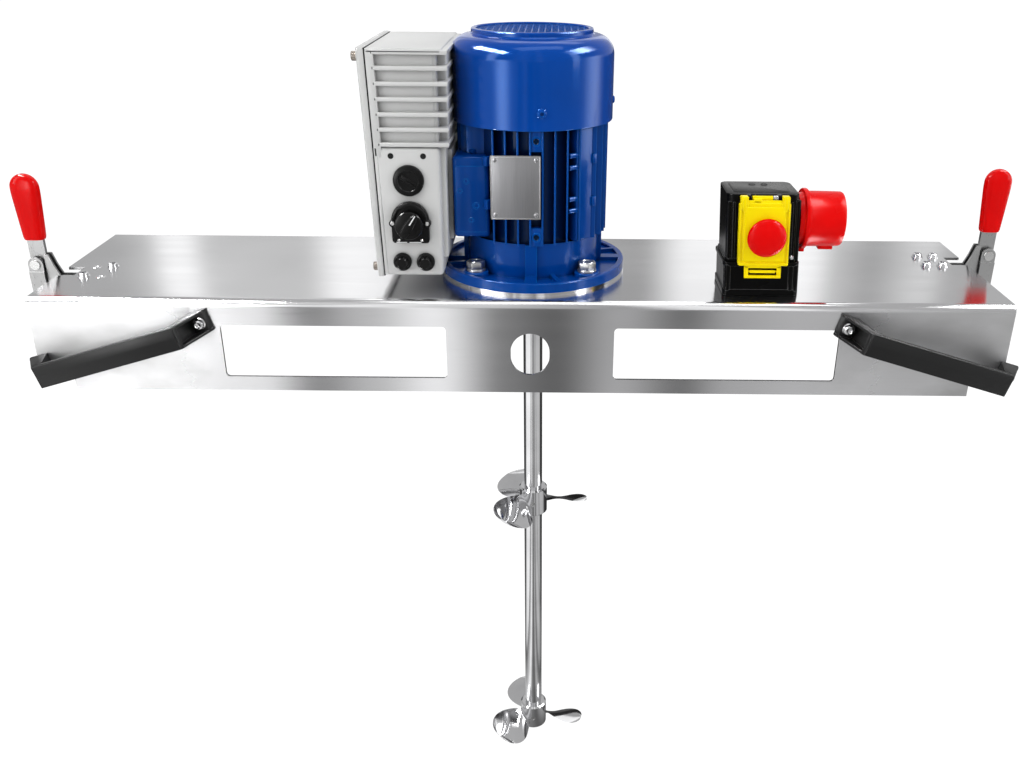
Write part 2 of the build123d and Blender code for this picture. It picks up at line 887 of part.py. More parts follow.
# the cowl screws are tapped through the cowl into lugs on the fan end shield
with BuildPart() as cowl_screws:
    for angle in cowl_screw_angles:
        out = Vector(cos(radians(angle)), sin(radians(angle)), 0)
        seat = Plane(
            origin=(cowl_radius * out.X, cowl_radius * out.Y, frame_top + cowl_screw_rise),
            x_dir=(0, 0, 1),
            z_dir=out,
        )
        with BuildSketch(seat):
            Circle(cowl_screw_head / 2)
        extrude(amount=cowl_screw_head_height, taper=20)
        with BuildSketch(seat):
            Circle(cowl_screw / 2)
        extrude(amount=-(cowl_sheet + 10))
save(cowl_screws.part, "cowl_screws")

with BuildPart() as fan_shield:
    with BuildSketch(Plane.XY.offset(frame_top)):
        Circle(fan_shield_radius)
    extrude(amount=fan_shield_height)
    with BuildSketch(Plane.XY.offset(frame_top)):
        with PolarLocations((frame_bore + cowl_radius - cowl_sheet) / 2, 4, 0):
            Rectangle(cowl_radius - cowl_sheet - frame_bore - running_fit, fan_lug_width)
        Circle(frame_bore + 6, mode=Mode.SUBTRACT)
    extrude(amount=fan_lug_height)
    # keep the lugs inside the cowl
    with BuildSketch(Plane.XY.offset(frame_top)):
        Circle(cowl_radius + 10)
        Circle(cowl_radius - cowl_sheet, mode=Mode.SUBTRACT)
    extrude(amount=fan_lug_height, mode=Mode.SUBTRACT)
    with BuildSketch(Plane.XY.offset(fan_bearing_bottom)):
        Circle(housing_radius)
    extrude(amount=bearing_width + 3)
    with BuildSketch(Plane.XY.offset(fan_bearing_bottom)):
        Circle(bearing_outside / 2)
    extrude(amount=bearing_width, mode=Mode.SUBTRACT)
    with BuildSketch(Plane.XY.offset(fan_bearing_bottom)):
        Circle(bearing_bore / 2 + 2.0)
    extrude(amount=2 * bearing_width, mode=Mode.SUBTRACT)
    add(cowl_screws.part, mode=Mode.SUBTRACT)
save(fan_shield.part, "fan_end_shield")

cowl_inner = cowl_radius - cowl_sheet
with BuildPart() as fan_cowl:
    with BuildSketch(Plane.XY.offset(frame_top)):
        Circle(cowl_radius)
    extrude(amount=cowl_height)
    fillet(fan_cowl.faces().sort_by(Axis.Z)[-1].edges(), cowl_shoulder)
    with BuildSketch(Plane.XY.offset(frame_top + cowl_height)):
        Circle(cowl_ring_radius)
    extrude(amount=cowl_ring_height)
    fillet(fan_cowl.faces().sort_by(Axis.Z)[-1].edges(), 2.5)
    offset(amount=-cowl_sheet, openings=fan_cowl.faces().sort_by(Axis.Z)[:1])
    # ring slots of the air inlet
    with BuildSketch(Plane.XY.offset(cowl_top - 2 * cowl_sheet)):
        for ring in range(grille_slots):
            ring_radius = (ring + 1) * grille_pitch
            Circle(ring_radius + grille_slot / 2)
            Circle(ring_radius - grille_slot / 2, mode=Mode.SUBTRACT)
        with PolarLocations(grille_pitch * (grille_slots + 1) / 2 + grille_pitch, grille_spokes):
            Rectangle(grille_pitch * (grille_slots + 1), grille_spoke, mode=Mode.SUBTRACT)
    extrude(amount=4 * cowl_sheet, mode=Mode.SUBTRACT)
    add(cowl_screws.part, mode=Mode.SUBTRACT)
save(fan_cowl.part, "fan_cowl")


rotor_bottom = stator_bottom
with BuildPart() as rotor:
    with BuildSketch(Plane.XY.offset(rotor_bottom)):
        Circle(rotor_radius)
        Circle(bearing_bore / 2 + 3, mode=Mode.SUBTRACT)
    extrude(amount=stator_length)
save(rotor.part, "rotor")

fan_bottom = fan_bearing_top + 6.0
motor_shaft_bottom = flange_seat - motor_shaft_length
with BuildPart() as motor_shaft:
    with BuildSketch(Plane.XY.offset(motor_shaft_bottom)):
        Circle(motor_shaft_end / 2)
    extrude(amount=motor_shaft_length + drive_bearing_at)
    with BuildSketch(Plane.XY.offset(drive_bearing_bottom)):
        Circle(bearing_bore / 2)
    extrude(amount=fan_bearing_top - drive_bearing_bottom)
    with BuildSketch(Plane.XY.offset(drive_bearing_top + 2)):
        Circle(bearing_bore / 2 + 3)
    extrude(amount=fan_bearing_bottom - drive_bearing_top - 4)
    with BuildSketch(Plane.XY.offset(fan_bearing_top)):
        Circle(fan_bore / 2)
    extrude(amount=fan_bottom + fan_blade_height - fan_bearing_top)
save(motor_shaft.part, "motor_shaft")

bearing_levels = (drive_bearing_bottom, fan_bearing_bottom)
with BuildPart() as bearing_inner_rings:
    for level in bearing_levels:
        with BuildSketch(Plane.XY.offset(level)):
            Circle(bearing_bore / 2 + bearing_ring)
            Circle(bearing_bore / 2, mode=Mode.SUBTRACT)
        extrude(amount=bearing_width)
save(bearing_inner_rings.part, "bearing_inner_rings")

ball_path = (bearing_bore / 2 + bearing_outside / 2) / 2
ball_radius = (bearing_outside / 2 - bearing_bore / 2) / 2 - bearing_ring - running_fit
bearing_rings = []
for level in bearing_levels:
    with BuildPart() as outer_ring:
        with BuildSketch(Plane.XY.offset(level)):
            Circle(bearing_outside / 2)
            Circle(bearing_outside / 2 - bearing_ring, mode=Mode.SUBTRACT)
        extrude(amount=bearing_width)
    with BuildPart() as balls:
        with Locations(Plane.XY.offset(level + bearing_width / 2)):
            with PolarLocations(ball_path, ball_count):
                Sphere(ball_radius)
    bearing_rings += outer_ring.part.solids() + balls.part.solids()
save(Compound(bearing_rings), "bearing_outer_rings")

with BuildPart() as cooling_fan:
    with BuildSketch(Plane.XY.offset(fan_bottom)):
        Circle(fan_radius)
    extrude(amount=2.0)
    with BuildSketch(Plane.XY.offset(fan_bottom)):
        Circle(fan_hub_radius)
    extrude(amount=fan_blade_height)
    with BuildSketch(Plane.XY.offset(fan_bottom)):
        with PolarLocations((fan_radius + fan_hub_radius) / 2 - 1, fan_blade_count):
            Rectangle(fan_radius - fan_hub_radius, 2.4)
    extrude(amount=fan_blade_height)
    with BuildSketch(Plane.XY.offset(fan_bottom)):
        Circle(fan_bore / 2)
    extrude(amount=fan_blade_height, mode=Mode.SUBTRACT)
save(cooling_fan.part, "cooling_fan")

with BuildPart() as terminal_box:
    with BuildSketch(Plane.XY.offset(plate_top + terminal_box_rise)):
        with Locations(((-terminal_box_out - frame_bore * 0.7) / 2, 0)):
            Rectangle(terminal_box_out - frame_bore * 0.7, terminal_box_width)
    extrude(amount=terminal_box_height)
    front_edges = terminal_box.edges().filter_by(Axis.Z).group_by(Axis.X)[0]
    fillet(front_edges, 5)
    with BuildSketch(Plane.XY.offset(plate_top + terminal_box_rise)):
        Circle(frame_bore + frame_wall)
    extrude(amount=terminal_box_height, mode=Mode.SUBTRACT)
save(terminal_box.part, "terminal_box")

# ---------------------------------------------------------------- inverter

inverter_low = plate_top + inverter_bottom
inverter_top = inverter_low + inverter_height
inverter_middle = (inverter_low + inverter_top) / 2
inverter_front = inverter_depth / 2
cover_seam = inverter_outer - inverter_cover_thickness
# planes across the inverter: local x along -Y, local y up, looking from the cover towards the motor
cover_plane = Plane(origin=(-inverter_outer, 0, inverter_middle), x_dir=(0, -1, 0), z_dir=(-1, 0, 0))
seam_plane = Plane(origin=(-cover_seam, 0, inverter_middle), x_dir=(0, 1, 0), z_dir=(1, 0, 0))
fin_zone = (inverter_fin_count - 1) * inverter_fin_pitch + inverter_fin_thickness
shelf_low = inverter_top - fin_zone

with BuildPart() as inverter_housing:
    # the main casting, drawn in slightly towards the motor
    with BuildSketch(seam_plane):
        Rectangle(inverter_depth, inverter_height)
    extrude(amount=cover_seam - inverter_inner, taper=inverter_draft)
    far_edges = inverter_housing.edges().filter_by(
        lambda edge: abs(edge.center().X + inverter_inner) < 0.01 and abs(edge.center().Y) > 10
    )
    fillet(far_edges, 7)
    # the cooling fins stand clear of a narrower wall in the upper part
    for face in (-1, 1):
        with Locations((-cover_seam + 6, face * (inverter_front + 1), inverter_top - inverter_fin_thickness)):
            Box(
                cover_seam,
                2 * (inverter_fin_depth + 1),
                fin_zone - 2 * inverter_fin_thickness,
                align=(Align.MIN, Align.CENTER, Align.MAX),
                mode=Mode.SUBTRACT,
            )
        fin_width = cover_seam - inverter_inner + inverter_fin_over - 8
        for index in range(inverter_fin_count):
            level = inverter_top - 0.8 - index * inverter_fin_pitch
            with Locations((-cover_seam + 6, face * (inverter_front - 1.0), level)):
                Box(
                    fin_width,
                    inverter_fin_span,
                    inverter_fin_thickness,
                    align=(Align.MIN, Align.MIN if face < 0 else Align.MAX, Align.MAX),
                )
    # electronics space behind the cover
    with BuildSketch(seam_plane):
        Rectangle(
            inverter_depth - 2 * (inverter_fin_depth + inverter_wall),
            inverter_height - 6 * inverter_wall,
        )
    extrude(amount=cover_seam - inverter_inner - 2 * inverter_wall, mode=Mode.SUBTRACT)
    # lens holes in the front
    for shift in (-1, 1):
        with Locations((-panel_centre + shift * lens_spread / 2, -inverter_front, plate_top + lens_rise)):
            Cylinder(lens_hole / 2, 12, rotation=(90, 0, 0), mode=Mode.SUBTRACT)
    # the adapter pad that bolts to the terminal box
    with BuildSketch(Plane(origin=(-terminal_box_out, 0, plate_top + inverter_adapter_rise), x_dir=(0, -1, 0), z_dir=(-1, 0, 0))):
        with Locations((0, inverter_adapter_height / 2)):
            Rectangle(inverter_adapter_width, inverter_adapter_height)
    extrude(amount=inverter_inner - terminal_box_out + 4)
save(inverter_housing.part, "inverter_housing")

cover_bolt_places = [
    (dy * (inverter_depth / 2 - cover_bolt_inset), dz * (inverter_height / 2 - cover_bolt_inset))
    for dy in (-1, 1)
    for dz in (-1, 1)
]
cover_bolts = screw(
    cover_plane,
    cover_bolt_places,
    cover_bolt,
    cover_bolt_head,
    cover_bolt_head_height,
    inverter_cover_thickness,
    m6_socket,
)
save(cover_bolts, "inverter_cover_bolts")

with BuildPart() as inverter_cover:
    with BuildSketch(cover_plane):
        Rectangle(inverter_depth + 2, inverter_height + 2)
    extrude(amount=-inverter_cover_thickness)
    fillet(inverter_cover.edges().filter_by(Axis.X), 5)
    rims = inverter_cover.faces().sort_by(Axis.X)[0].edges()
    fillet(rims, 2)
    add(cover_bolts, mode=Mode.SUBTRACT)
save(inverter_cover.part, "inverter_cover")

# plane of the controls on the drafted front: x to the right, y up, z towards the user
front_setback = (cover_seam - panel_centre) * tan(radians(inverter_draft))
front_plane = Plane(
    origin=(-panel_centre, front_setback - inverter_front, plate_top),
    x_dir=(cos(radians(inverter_draft)), sin(radians(inverter_draft)), 0),
    z_dir=(sin(radians(inverter_draft)), -cos(radians(inverter_draft)), 0),
)

with BuildPart() as sealing_cap:
    with BuildSketch(front_plane):
        with Locations((0, cap_rise)):
            Circle(cap_diameter / 2)
    extrude(amount=cap_height)
    fillet(sealing_cap.faces().sort_by(Axis.Y)[0].edges(), 1)
    with BuildSketch(front_plane.offset(cap_height)):
        with Locations((0, cap_rise)):
            SlotOverall(cap_diameter * 0.6, cap_slot, rotation=-35)
    extrude(amount=-cap_height / 2, mode=Mode.SUBTRACT)
save(sealing_cap.part, "sealing_cap")

with BuildPart() as selector_base:
    with BuildSketch(front_plane):
        with Locations((0, selector_rise)):
            Circle(selector_width / 2)
            with Locations((0, -selector_width / 4)):
                Rectangle(selector_width, selector_width / 2)
    extrude(amount=selector_height)
    with BuildSketch(front_plane.offset(selector_height)):
        with Locations((0, selector_rise)):
            Circle(knob_spindle / 2 + running_fit)
    extrude(amount=-selector_height, mode=Mode.SUBTRACT)
save(selector_base.part, "selector_base")

with BuildPart() as speed_knob:
    with BuildSketch(front_plane.offset(selector_height + face_gap)):
        with Locations((0, selector_rise)):
            Circle(knob_diameter / 2)
    extrude(amount=knob_height)
    fillet(speed_knob.faces().sort_by(Axis.Y)[0].edges(), 1.5)
    with BuildSketch(front_plane.offset(selector_height + face_gap + knob_height)):
        with Locations((0, selector_rise)):
            with Locations((-2, 1)):
                Rectangle(1.6, knob_diameter * 0.42, rotation=-32)
    extrude(amount=-1, mode=Mode.SUBTRACT)
    with BuildSketch(front_plane.offset(selector_height + face_gap)):
        with Locations((0, selector_rise)):
            Circle(knob_spindle / 2)
    extrude(amount=-selector_height)
save(speed_knob.part, "speed_knob")

with BuildPart() as blanking_plugs:
    with BuildSketch(front_plane):
        with Locations((-plug_spread / 2, plug_rise), (plug_spread / 2, plug_rise)):
            Circle(plug_diameter / 2)
    extrude(amount=plug_height)
    fillet(blanking_plugs.faces().group_by(Axis.Y)[0].edges(), 1.5)
save(blanking_plugs.part, "blanking_plugs")

# ---------------------------------------------------------------- motor switch

cover_bottom = plate_top + switch_base_height
cover_top = cover_bottom + switch_cover_height
cover_face = switch_front - switch_step
switch_middle = switch_front - switch_depth / 2
button_plane = Plane(origin=(switch_centre, -cover_face, plate_top), x_dir=(1, 0, 0), z_dir=(0, -1, 0))
hinge_level = switch_base_height + switch_cover_height - flap_hinge_drop
hinge_point = (switch_centre, -cover_face - flap_hinge_out, plate_top + hinge_level)
side_plane = Plane(origin=hinge_point, x_dir=(0, 1, 0), z_dir=(1, 0, 0))
lug_inner = flap_barrel_length / 2 + face_gap

with BuildPart() as switch_base:
    with BuildSketch(Plane.XY.offset(plate_top)):
        with Locations((switch_centre, -switch_middle)):
            RectangleRounded(switch_width, switch_depth, switch_corner)
    extrude(amount=switch_base_height)
    with BuildSketch(Plane.XY.offset(plate_top + switch_wall)):
        with Locations((switch_centre, -switch_middle)):
            RectangleRounded(
                switch_width - 2 * switch_wall, switch_depth - 2 * switch_wall, switch_corner - switch_wall
            )
    extrude(amount=switch_base_height, mode=Mode.SUBTRACT)
save(switch_base.part, "switch_base")

with BuildPart() as switch_cover:
    with BuildSketch(Plane.XY.offset(cover_bottom)):
        with Locations((switch_centre, -switch_middle)):
            RectangleRounded(
                switch_width - 2 * switch_step, switch_depth - 2 * switch_step, switch_corner - 1
            )
    extrude(amount=switch_cover_height)
    chamfer(switch_cover.faces().sort_by(Axis.Z)[-1].edges(), 2.0)
    offset(amount=-switch_wall, openings=switch_cover.faces().sort_by(Axis.Z)[:1])
    # hinge lugs of the flap
    for hand in (-1, 1):
        with BuildSketch(side_plane.offset(hand * lug_inner)):
            Circle(flap_barrel / 2 + 0.1)
            with Locations((flap_hinge_out / 2, 0)):
                Rectangle(flap_hinge_out, flap_barrel)
        extrude(amount=hand * hinge_lug)
    with BuildSketch(side_plane):
        Circle(flap_pin / 2 + running_fit)
    extrude(amount=lug_inner + hinge_lug, both=True, mode=Mode.SUBTRACT)
    # button guides
    with BuildSketch(button_plane):
        with Locations((0, stop_rise), (0, start_rise)):
            Circle(button_diameter / 2)
    extrude(amount=-switch_wall, mode=Mode.SUBTRACT)
save(switch_cover.part, "switch_cover")


def make_button(level):
    """A push button with a collar behind the cover."""
    with BuildPart() as button:
        with BuildSketch(button_plane.offset(button_proud)):
            with Locations((0, level)):
                Circle(button_diameter / 2 - face_gap)
        extrude(amount=-(button_proud + button_depth))
        fillet(button.faces().sort_by(Axis.Y)[0].edges(), 0.8)
        with BuildSketch(button_plane.offset(-switch_wall - face_gap)):
            with Locations((0, level)):
                Circle(button_flange / 2)
        extrude(amount=-button_flange_height)
    return button.part


save(make_button(start_rise), "start_button")
save(make_button(stop_rise), "stop_button")

flap_back = flap_back_gap
flap_front = flap_back + flap_plate
flap_low = hinge_level - flap_height
with BuildPart() as switch_flap:
    with BuildSketch(button_plane.offset(flap_back)):
        with Locations((0, hinge_level - 1 - (flap_height - 1) / 2)):
            RectangleRounded(flap_width, flap_height - 1, 2.5)
    extrude(amount=flap_plate)
    with BuildSketch(button_plane.offset(flap_back)):
        with Locations((0, flap_low - flap_tab_height / 2 + 3)):
            RectangleRounded(flap_tab_width, flap_tab_height + 6, 2)
    extrude(amount=flap_plate * 0.7)
    with BuildSketch(button_plane.offset(flap_back)):
        with Locations((0, flap_low - flap_tab_height / 2)):
            RectangleRounded(flap_tab_width - 12, 4, 1)
    extrude(amount=flap_plate, mode=Mode.SUBTRACT)
    # turned-in sides
    for hand in (-1, 1):
        with BuildSketch(button_plane.offset(1.0)):
            with Locations((hand * (flap_width - flap_wall) / 2, (flap_low + hinge_level) / 2)):
                Rectangle(flap_wall, flap_height - 2 * flap_wall_clear)
        extrude(amount=flap_back)
    # hinge barrel with its stub pins
    with BuildSketch(side_plane):
        Circle(flap_barrel / 2)
        with Locations((-(flap_back_gap + flap_plate - flap_hinge_out) / 2, -1)):
            Rectangle(flap_back_gap + flap_plate - flap_hinge_out, flap_barrel - 2)
    extrude(amount=flap_barrel_length / 2, both=True)
    with BuildSketch(side_plane):
        Circle(flap_pin / 2)
    extrude(amount=lug_inner + hinge_lug, both=True)
    with BuildSketch(button_plane):
        with Locations((0, stop_rise)):
            Circle(mushroom_stem / 2 + face_gap)
    extrude(amount=flap_front + 1, mode=Mode.SUBTRACT)
save(switch_flap.part, "switch_flap")

with BuildPart() as stop_mushroom:
    with BuildSketch(button_plane.offset(flap_front + mushroom_travel + 0.5)):
        with Locations((0, stop_rise)):
            Circle(mushroom_diameter / 2)
    extrude(amount=mushroom_height)
    fillet(stop_mushroom.faces().sort_by(Axis.Y)[0].edges(), mushroom_height * 0.6)
    with BuildSketch(button_plane.offset(flap_back - face_gap)):
        with Locations((0, stop_rise)):
            Circle(mushroom_stem / 2)
    extrude(amount=flap_plate + mushroom_travel + 0.5 + face_gap)
    with BuildSketch(button_plane.offset(flap_back - face_gap)):
        with Locations((0, stop_rise)):
            Circle(mushroom_stem / 2 + 2)
    extrude(amount=-1.2)
save(stop_mushroom.part, "stop_mushroom")

# power inlet on the right of the switch: x outwards along the plane's normal
inlet_face = switch_centre + switch_width / 2 - switch_step
inlet_plane = Plane(
    origin=(inlet_face, -switch_middle, plate_top + inlet_rise), x_dir=(0, 1, 0), z_dir=(1, 0, 0)
)
shroud_start = inlet_neck_length + inlet_collar_length
with BuildPart() as inlet_shroud:
    with BuildSketch(inlet_plane):
        Circle(inlet_neck_radius)
    extrude(amount=inlet_neck_length)
    with BuildSketch(inlet_plane.offset(inlet_neck_length)):
        Circle(inlet_collar_radius)
    extrude(amount=inlet_collar_length)
    fillet(inlet_shroud.edges().filter_by(GeomType.CIRCLE).filter_by(lambda e: e.radius > inlet_radius), 1.2)
    with BuildSketch(inlet_plane.offset(shroud_start)):
        Circle(inlet_radius)
    extrude(amount=inlet_length)
    fillet(inlet_shroud.faces().sort_by(Axis.X)[-1].edges(), 1.0)
    with BuildSketch(inlet_plane.offset(shroud_start + inlet_length * 0.6)):
        with Locations((0, -inlet_radius - 1)):
            Rectangle(10, 5)
    extrude(amount=9)
    with BuildSketch(inlet_plane.offset(shroud_start + inlet_back)):
        Circle(inlet_radius - inlet_wall)
    extrude(amount=inlet_length, mode=Mode.SUBTRACT)
save(inlet_shroud.part, "inlet_shroud")

with BuildPart() as inlet_core:
    with BuildSketch(inlet_plane.offset(shroud_start + inlet_back)):
        Circle(inlet_pin_circle + inlet_pin)
        with PolarLocations(inlet_pin_circle, inlet_pin_count, -90):
            Circle(inlet_pin / 2, mode=Mode.SUBTRACT)
    extrude(amount=inlet_core_height)
save(inlet_core.part, "inlet_core")

with BuildPart() as inlet_pins:
    with BuildSketch(inlet_plane.offset(shroud_start + inlet_back)):
        with PolarLocations(inlet_pin_circle, inlet_pin_count, -90):
            Circle(inlet_pin / 2)
    extrude(amount=inlet_pin_length)
    fillet(inlet_pins.faces().group_by(Axis.X)[-1].edges(), 1.0)
save(inlet_pins.part, "inlet_pins")

# ---------------------------------------------------------------- stirrer

sleeve_high = flange_seat - sleeve_top
sleeve_low = sleeve_high - sleeve_length
stirrer_top = motor_shaft_bottom - face_gap
stirrer_low = plate_top - stirrer_end
hub_levels = {
    "upper_propeller": (plate_top - upper_hub_below, 0.0),
    "lower_propeller": (plate_top - lower_hub_below, lower_turn),
}

with BuildPart() as set_screws:
    screw_sets = [
        (motor_shaft_end / 2, sleeve_diameter / 2, (sleeve_high + motor_shaft_bottom) / 2),
        (stirrer_diameter / 2, sleeve_diameter / 2, (sleeve_low + stirrer_top) / 2),
    ]
    for hub_middle, turn in hub_levels.values():
        screw_sets.append((stirrer_diameter / 2, hub_diameter / 2, hub_middle))
    for start, end, level in screw_sets:
        with BuildSketch(Plane(origin=(0, -start, level), x_dir=(1, 0, 0), z_dir=(0, -1, 0))):
            Circle(set_screw / 2)
        extrude(amount=end - start - 0.5)
save(set_screws.part, "set_screws")

with BuildPart() as coupling_sleeve:
    with BuildSketch(Plane.XY.offset(sleeve_low)):
        Circle(sleeve_diameter / 2)
    extrude(amount=sleeve_length)
    chamfer(coupling_sleeve.edges().filter_by(GeomType.CIRCLE), 1.0)
    with BuildSketch(Plane.XY.offset(sleeve_low)):
        Circle(stirrer_diameter / 2)
    extrude(amount=motor_shaft_bottom - sleeve_low, mode=Mode.SUBTRACT)
    with BuildSketch(Plane.XY.offset(sleeve_high)):
        Circle(motor_shaft_end / 2)
    extrude(amount=-(sleeve_high - motor_shaft_bottom), mode=Mode.SUBTRACT)
    for level in (screw_sets[0][2], screw_sets[1][2]):
        with BuildSketch(Plane(origin=(0, 0, level), x_dir=(1, 0, 0), z_dir=(0, -1, 0))):
            Circle(set_screw / 2)
        extrude(amount=sleeve_diameter, mode=Mode.SUBTRACT)
save(coupling_sleeve.part, "coupling_sleeve")

with BuildPart() as stirrer_shaft:
    with BuildSketch(Plane.XY.offset(stirrer_low)):
        Circle(stirrer_diameter / 2)
    extrude(amount=stirrer_top - stirrer_low)
    chamfer(stirrer_shaft.edges().filter_by(GeomType.CIRCLE), 1.0)
save(stirrer_shaft.part, "stirrer_shaft")


def make_propeller(level, turn):
    """A marine propeller: a bored hub with twisted blades of the same pitch all along."""
    stations = [
        (hub_diameter / 2 - 3, 0.34),
        (propeller_radius * 0.42, 0.58),
        (propeller_radius * 0.66, 0.76),
        (propeller_radius * 0.87, 0.66),
        (propeller_radius, 0.26),
    ]
    with BuildPart(mode=Mode.PRIVATE) as blade:
        for radius, chord in stations:
            lead = atan(propeller_pitch / (2 * pi * radius))
            section = Plane(origin=(radius, 0, level), x_dir=(0, cos(lead), -sin(lead)), z_dir=(1, 0, 0))
            half_chord = chord * propeller_radius / 2
            with BuildSketch(section):
                with BuildLine():
                    ThreePointArc((-half_chord, 0), (0, blade_thickness / 2), (half_chord, 0))
                    ThreePointArc((half_chord, 0), (0, -blade_thickness / 2), (-half_chord, 0))
                make_face()
        loft()
    with BuildPart() as propeller:
        with BuildSketch(Plane.XY.offset(level - hub_height / 2)):
            Circle(hub_diameter / 2)
        extrude(amount=hub_height)
        chamfer(propeller.edges().filter_by(GeomType.CIRCLE), 2.0)
        for index in range(blade_count):
            add(blade.part, rotation=(0, 0, turn + index * 360 / blade_count))
        with BuildSketch(Plane.XY.offset(level - hub_height)):
            Circle(stirrer_diameter / 2)
        extrude(amount=2 * hub_height, mode=Mode.SUBTRACT)
        with BuildSketch(Plane(origin=(0, 0, level), x_dir=(1, 0, 0), z_dir=(0, -1, 0))):
            Circle(set_screw / 2)
        extrude(amount=hub_diameter, mode=Mode.SUBTRACT)
    return propeller.part


for propeller_name, (level, turn) in hub_levels.items():
    save(make_propeller(level, turn), propeller_name)
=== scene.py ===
import math

import bmesh
import bpy
from mathutils import Matrix, Vector


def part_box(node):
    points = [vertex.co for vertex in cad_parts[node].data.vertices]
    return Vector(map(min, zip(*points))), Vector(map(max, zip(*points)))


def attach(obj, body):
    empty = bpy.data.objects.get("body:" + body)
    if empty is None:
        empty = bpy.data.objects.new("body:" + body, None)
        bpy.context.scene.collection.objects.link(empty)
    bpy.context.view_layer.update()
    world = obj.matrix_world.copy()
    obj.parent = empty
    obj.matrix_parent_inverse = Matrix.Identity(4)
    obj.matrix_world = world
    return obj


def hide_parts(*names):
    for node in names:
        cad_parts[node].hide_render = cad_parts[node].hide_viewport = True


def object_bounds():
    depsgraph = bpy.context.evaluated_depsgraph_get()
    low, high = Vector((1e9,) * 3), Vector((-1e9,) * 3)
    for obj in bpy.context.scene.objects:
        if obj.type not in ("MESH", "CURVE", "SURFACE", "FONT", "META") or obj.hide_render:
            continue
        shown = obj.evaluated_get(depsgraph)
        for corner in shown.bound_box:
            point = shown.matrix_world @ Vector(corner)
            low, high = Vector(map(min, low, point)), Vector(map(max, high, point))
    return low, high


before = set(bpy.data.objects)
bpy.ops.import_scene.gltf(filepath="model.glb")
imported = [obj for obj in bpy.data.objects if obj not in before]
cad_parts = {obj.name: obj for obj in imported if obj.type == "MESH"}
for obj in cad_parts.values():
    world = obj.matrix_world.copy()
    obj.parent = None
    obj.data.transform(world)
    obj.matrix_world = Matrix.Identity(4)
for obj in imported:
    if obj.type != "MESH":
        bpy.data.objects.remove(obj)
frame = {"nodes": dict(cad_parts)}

cad_low, cad_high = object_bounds()
nodes = frame["nodes"]

# ---------------------------------------------------------------- camera and studio
# A plain pale studio: a floor below the stirrer, a bright surround, and large soft lamps above
# and beside the bridge. The camera stands in front, a little above the bridge, and looks down.

camera_data = bpy.data.cameras.new("camera")
camera = bpy.data.objects.new("camera", camera_data)
bpy.context.scene.collection.objects.link(camera)
bpy.context.scene.camera = camera
camera_data.lens = 35.2
camera_data.sensor_width = 36.0
camera_data.shift_x = -0.0427
camera_data.clip_start = 0.05
camera_data.clip_end = 30.0
camera.location = (0.0267, -1.068, 0.4223)
camera.rotation_euler = (
    Matrix.Rotation(math.radians(90 - 24.56), 3, "X") @ Matrix.Rotation(math.radians(0.5), 3, "Z")
).to_euler()

floor_mesh = bpy.data.meshes.new("floor")
floor_shape = bmesh.new()
bmesh.ops.create_grid(floor_shape, x_segments=1, y_segments=1, size=40.0)
floor_shape.to_mesh(floor_mesh)
floor_shape.free()
floor = bpy.data.objects.new("floor", floor_mesh)
floor_mesh.transform(Matrix.Translation((0, 0, cad_low.z - 0.02)))
bpy.context.scene.collection.objects.link(floor)


def worked_out(tree, operation, *values):
    """One step of reckoning on sockets or plain numbers."""
    step = tree.nodes.new("ShaderNodeMath")
    step.operation = operation
    for socket, value in zip(step.inputs, values):
        if isinstance(value, (int, float)):
            socket.default_value = value
        else:
            tree.links.new(value, socket)
    return step.outputs[0]


def ranged(tree, value, low, high, start=0.3, end=0.7):
    """Map a value to a range of brightness, roughness, height or share."""
    spread = tree.nodes.new("ShaderNodeMapRange")
    spread.inputs["From Min"].default_value = start
    spread.inputs["From Max"].default_value = end
    spread.inputs["To Min"].default_value = low
    spread.inputs["To Max"].default_value = high
    tree.links.new(value, spread.inputs["Value"])
    return spread.outputs[0]


def split_up(tree, vector):
    """The X, Y and Z of a vector."""
    split = tree.nodes.new("ShaderNodeSeparateXYZ")
    tree.links.new(vector, split.inputs[0])
    return split.outputs


def blended(tree, share, first, second):
    """Two shaders, mixed by a share."""
    mix = tree.nodes.new("ShaderNodeMixShader")
    for socket, value in zip(mix.inputs, (share, first, second)):
        tree.links.new(value, socket)
    return mix.outputs[0]


def strip_lights(tree, across, away, stops):
    """Soft bright and dark strips that fan out in front of, or behind, the bridge."""
    place = worked_out(tree, "ADD", worked_out(tree, "DIVIDE", across, away), 0.5)
    place.node.use_clamp = True
    ramp = tree.nodes.new("ShaderNodeValToRGB")
    ramp.color_ramp.interpolation = "EASE"
    points = ramp.color_ramp.elements
    while len(points) > 1:
        points.remove(points[-1])
    points[0].position = 0.0
    points[0].color = (stops[0][1],) * 3 + (1,)
    for slope_at, level in stops:
        point = points.new(0.5 + slope_at)
        point.color = (level, level, level, 1)
    tree.links.new(place, ramp.inputs["Fac"])
    return ramp.outputs["Color"]


# (slope from straight ahead, brightness): in front of the bridge, and behind it
front_strips = (
    (-0.46, 1.30), (-0.337, 1.18), (-0.274, 0.30), (-0.209, 0.69), (-0.133, 1.30), (-0.06, 0.28),
    (0.0, 0.17), (0.07, 0.58), (0.144, 0.22), (0.196, 0.55), (0.27, 0.69), (0.366, 0.60),
    (0.41, 0.44), (0.47, 0.70),
)
back_strips = (
    (-0.46, 0.57), (-0.425, 0.75), (-0.405, 1.45), (-0.384, 1.40), (-0.362, 0.76), (-0.266, 0.72),
    (-0.224, 1.28), (-0.10, 0.90), (0.0, 0.60), (0.087, 0.45), (0.139, 1.25), (0.264, 1.45),
    (0.294, 0.75), (0.327, 0.51), (0.388, 0.95), (0.41, 0.55), (0.46, 0.60),
)
mirror_eye = (camera.location.x, 2 * cad_low.y - camera.location.y)

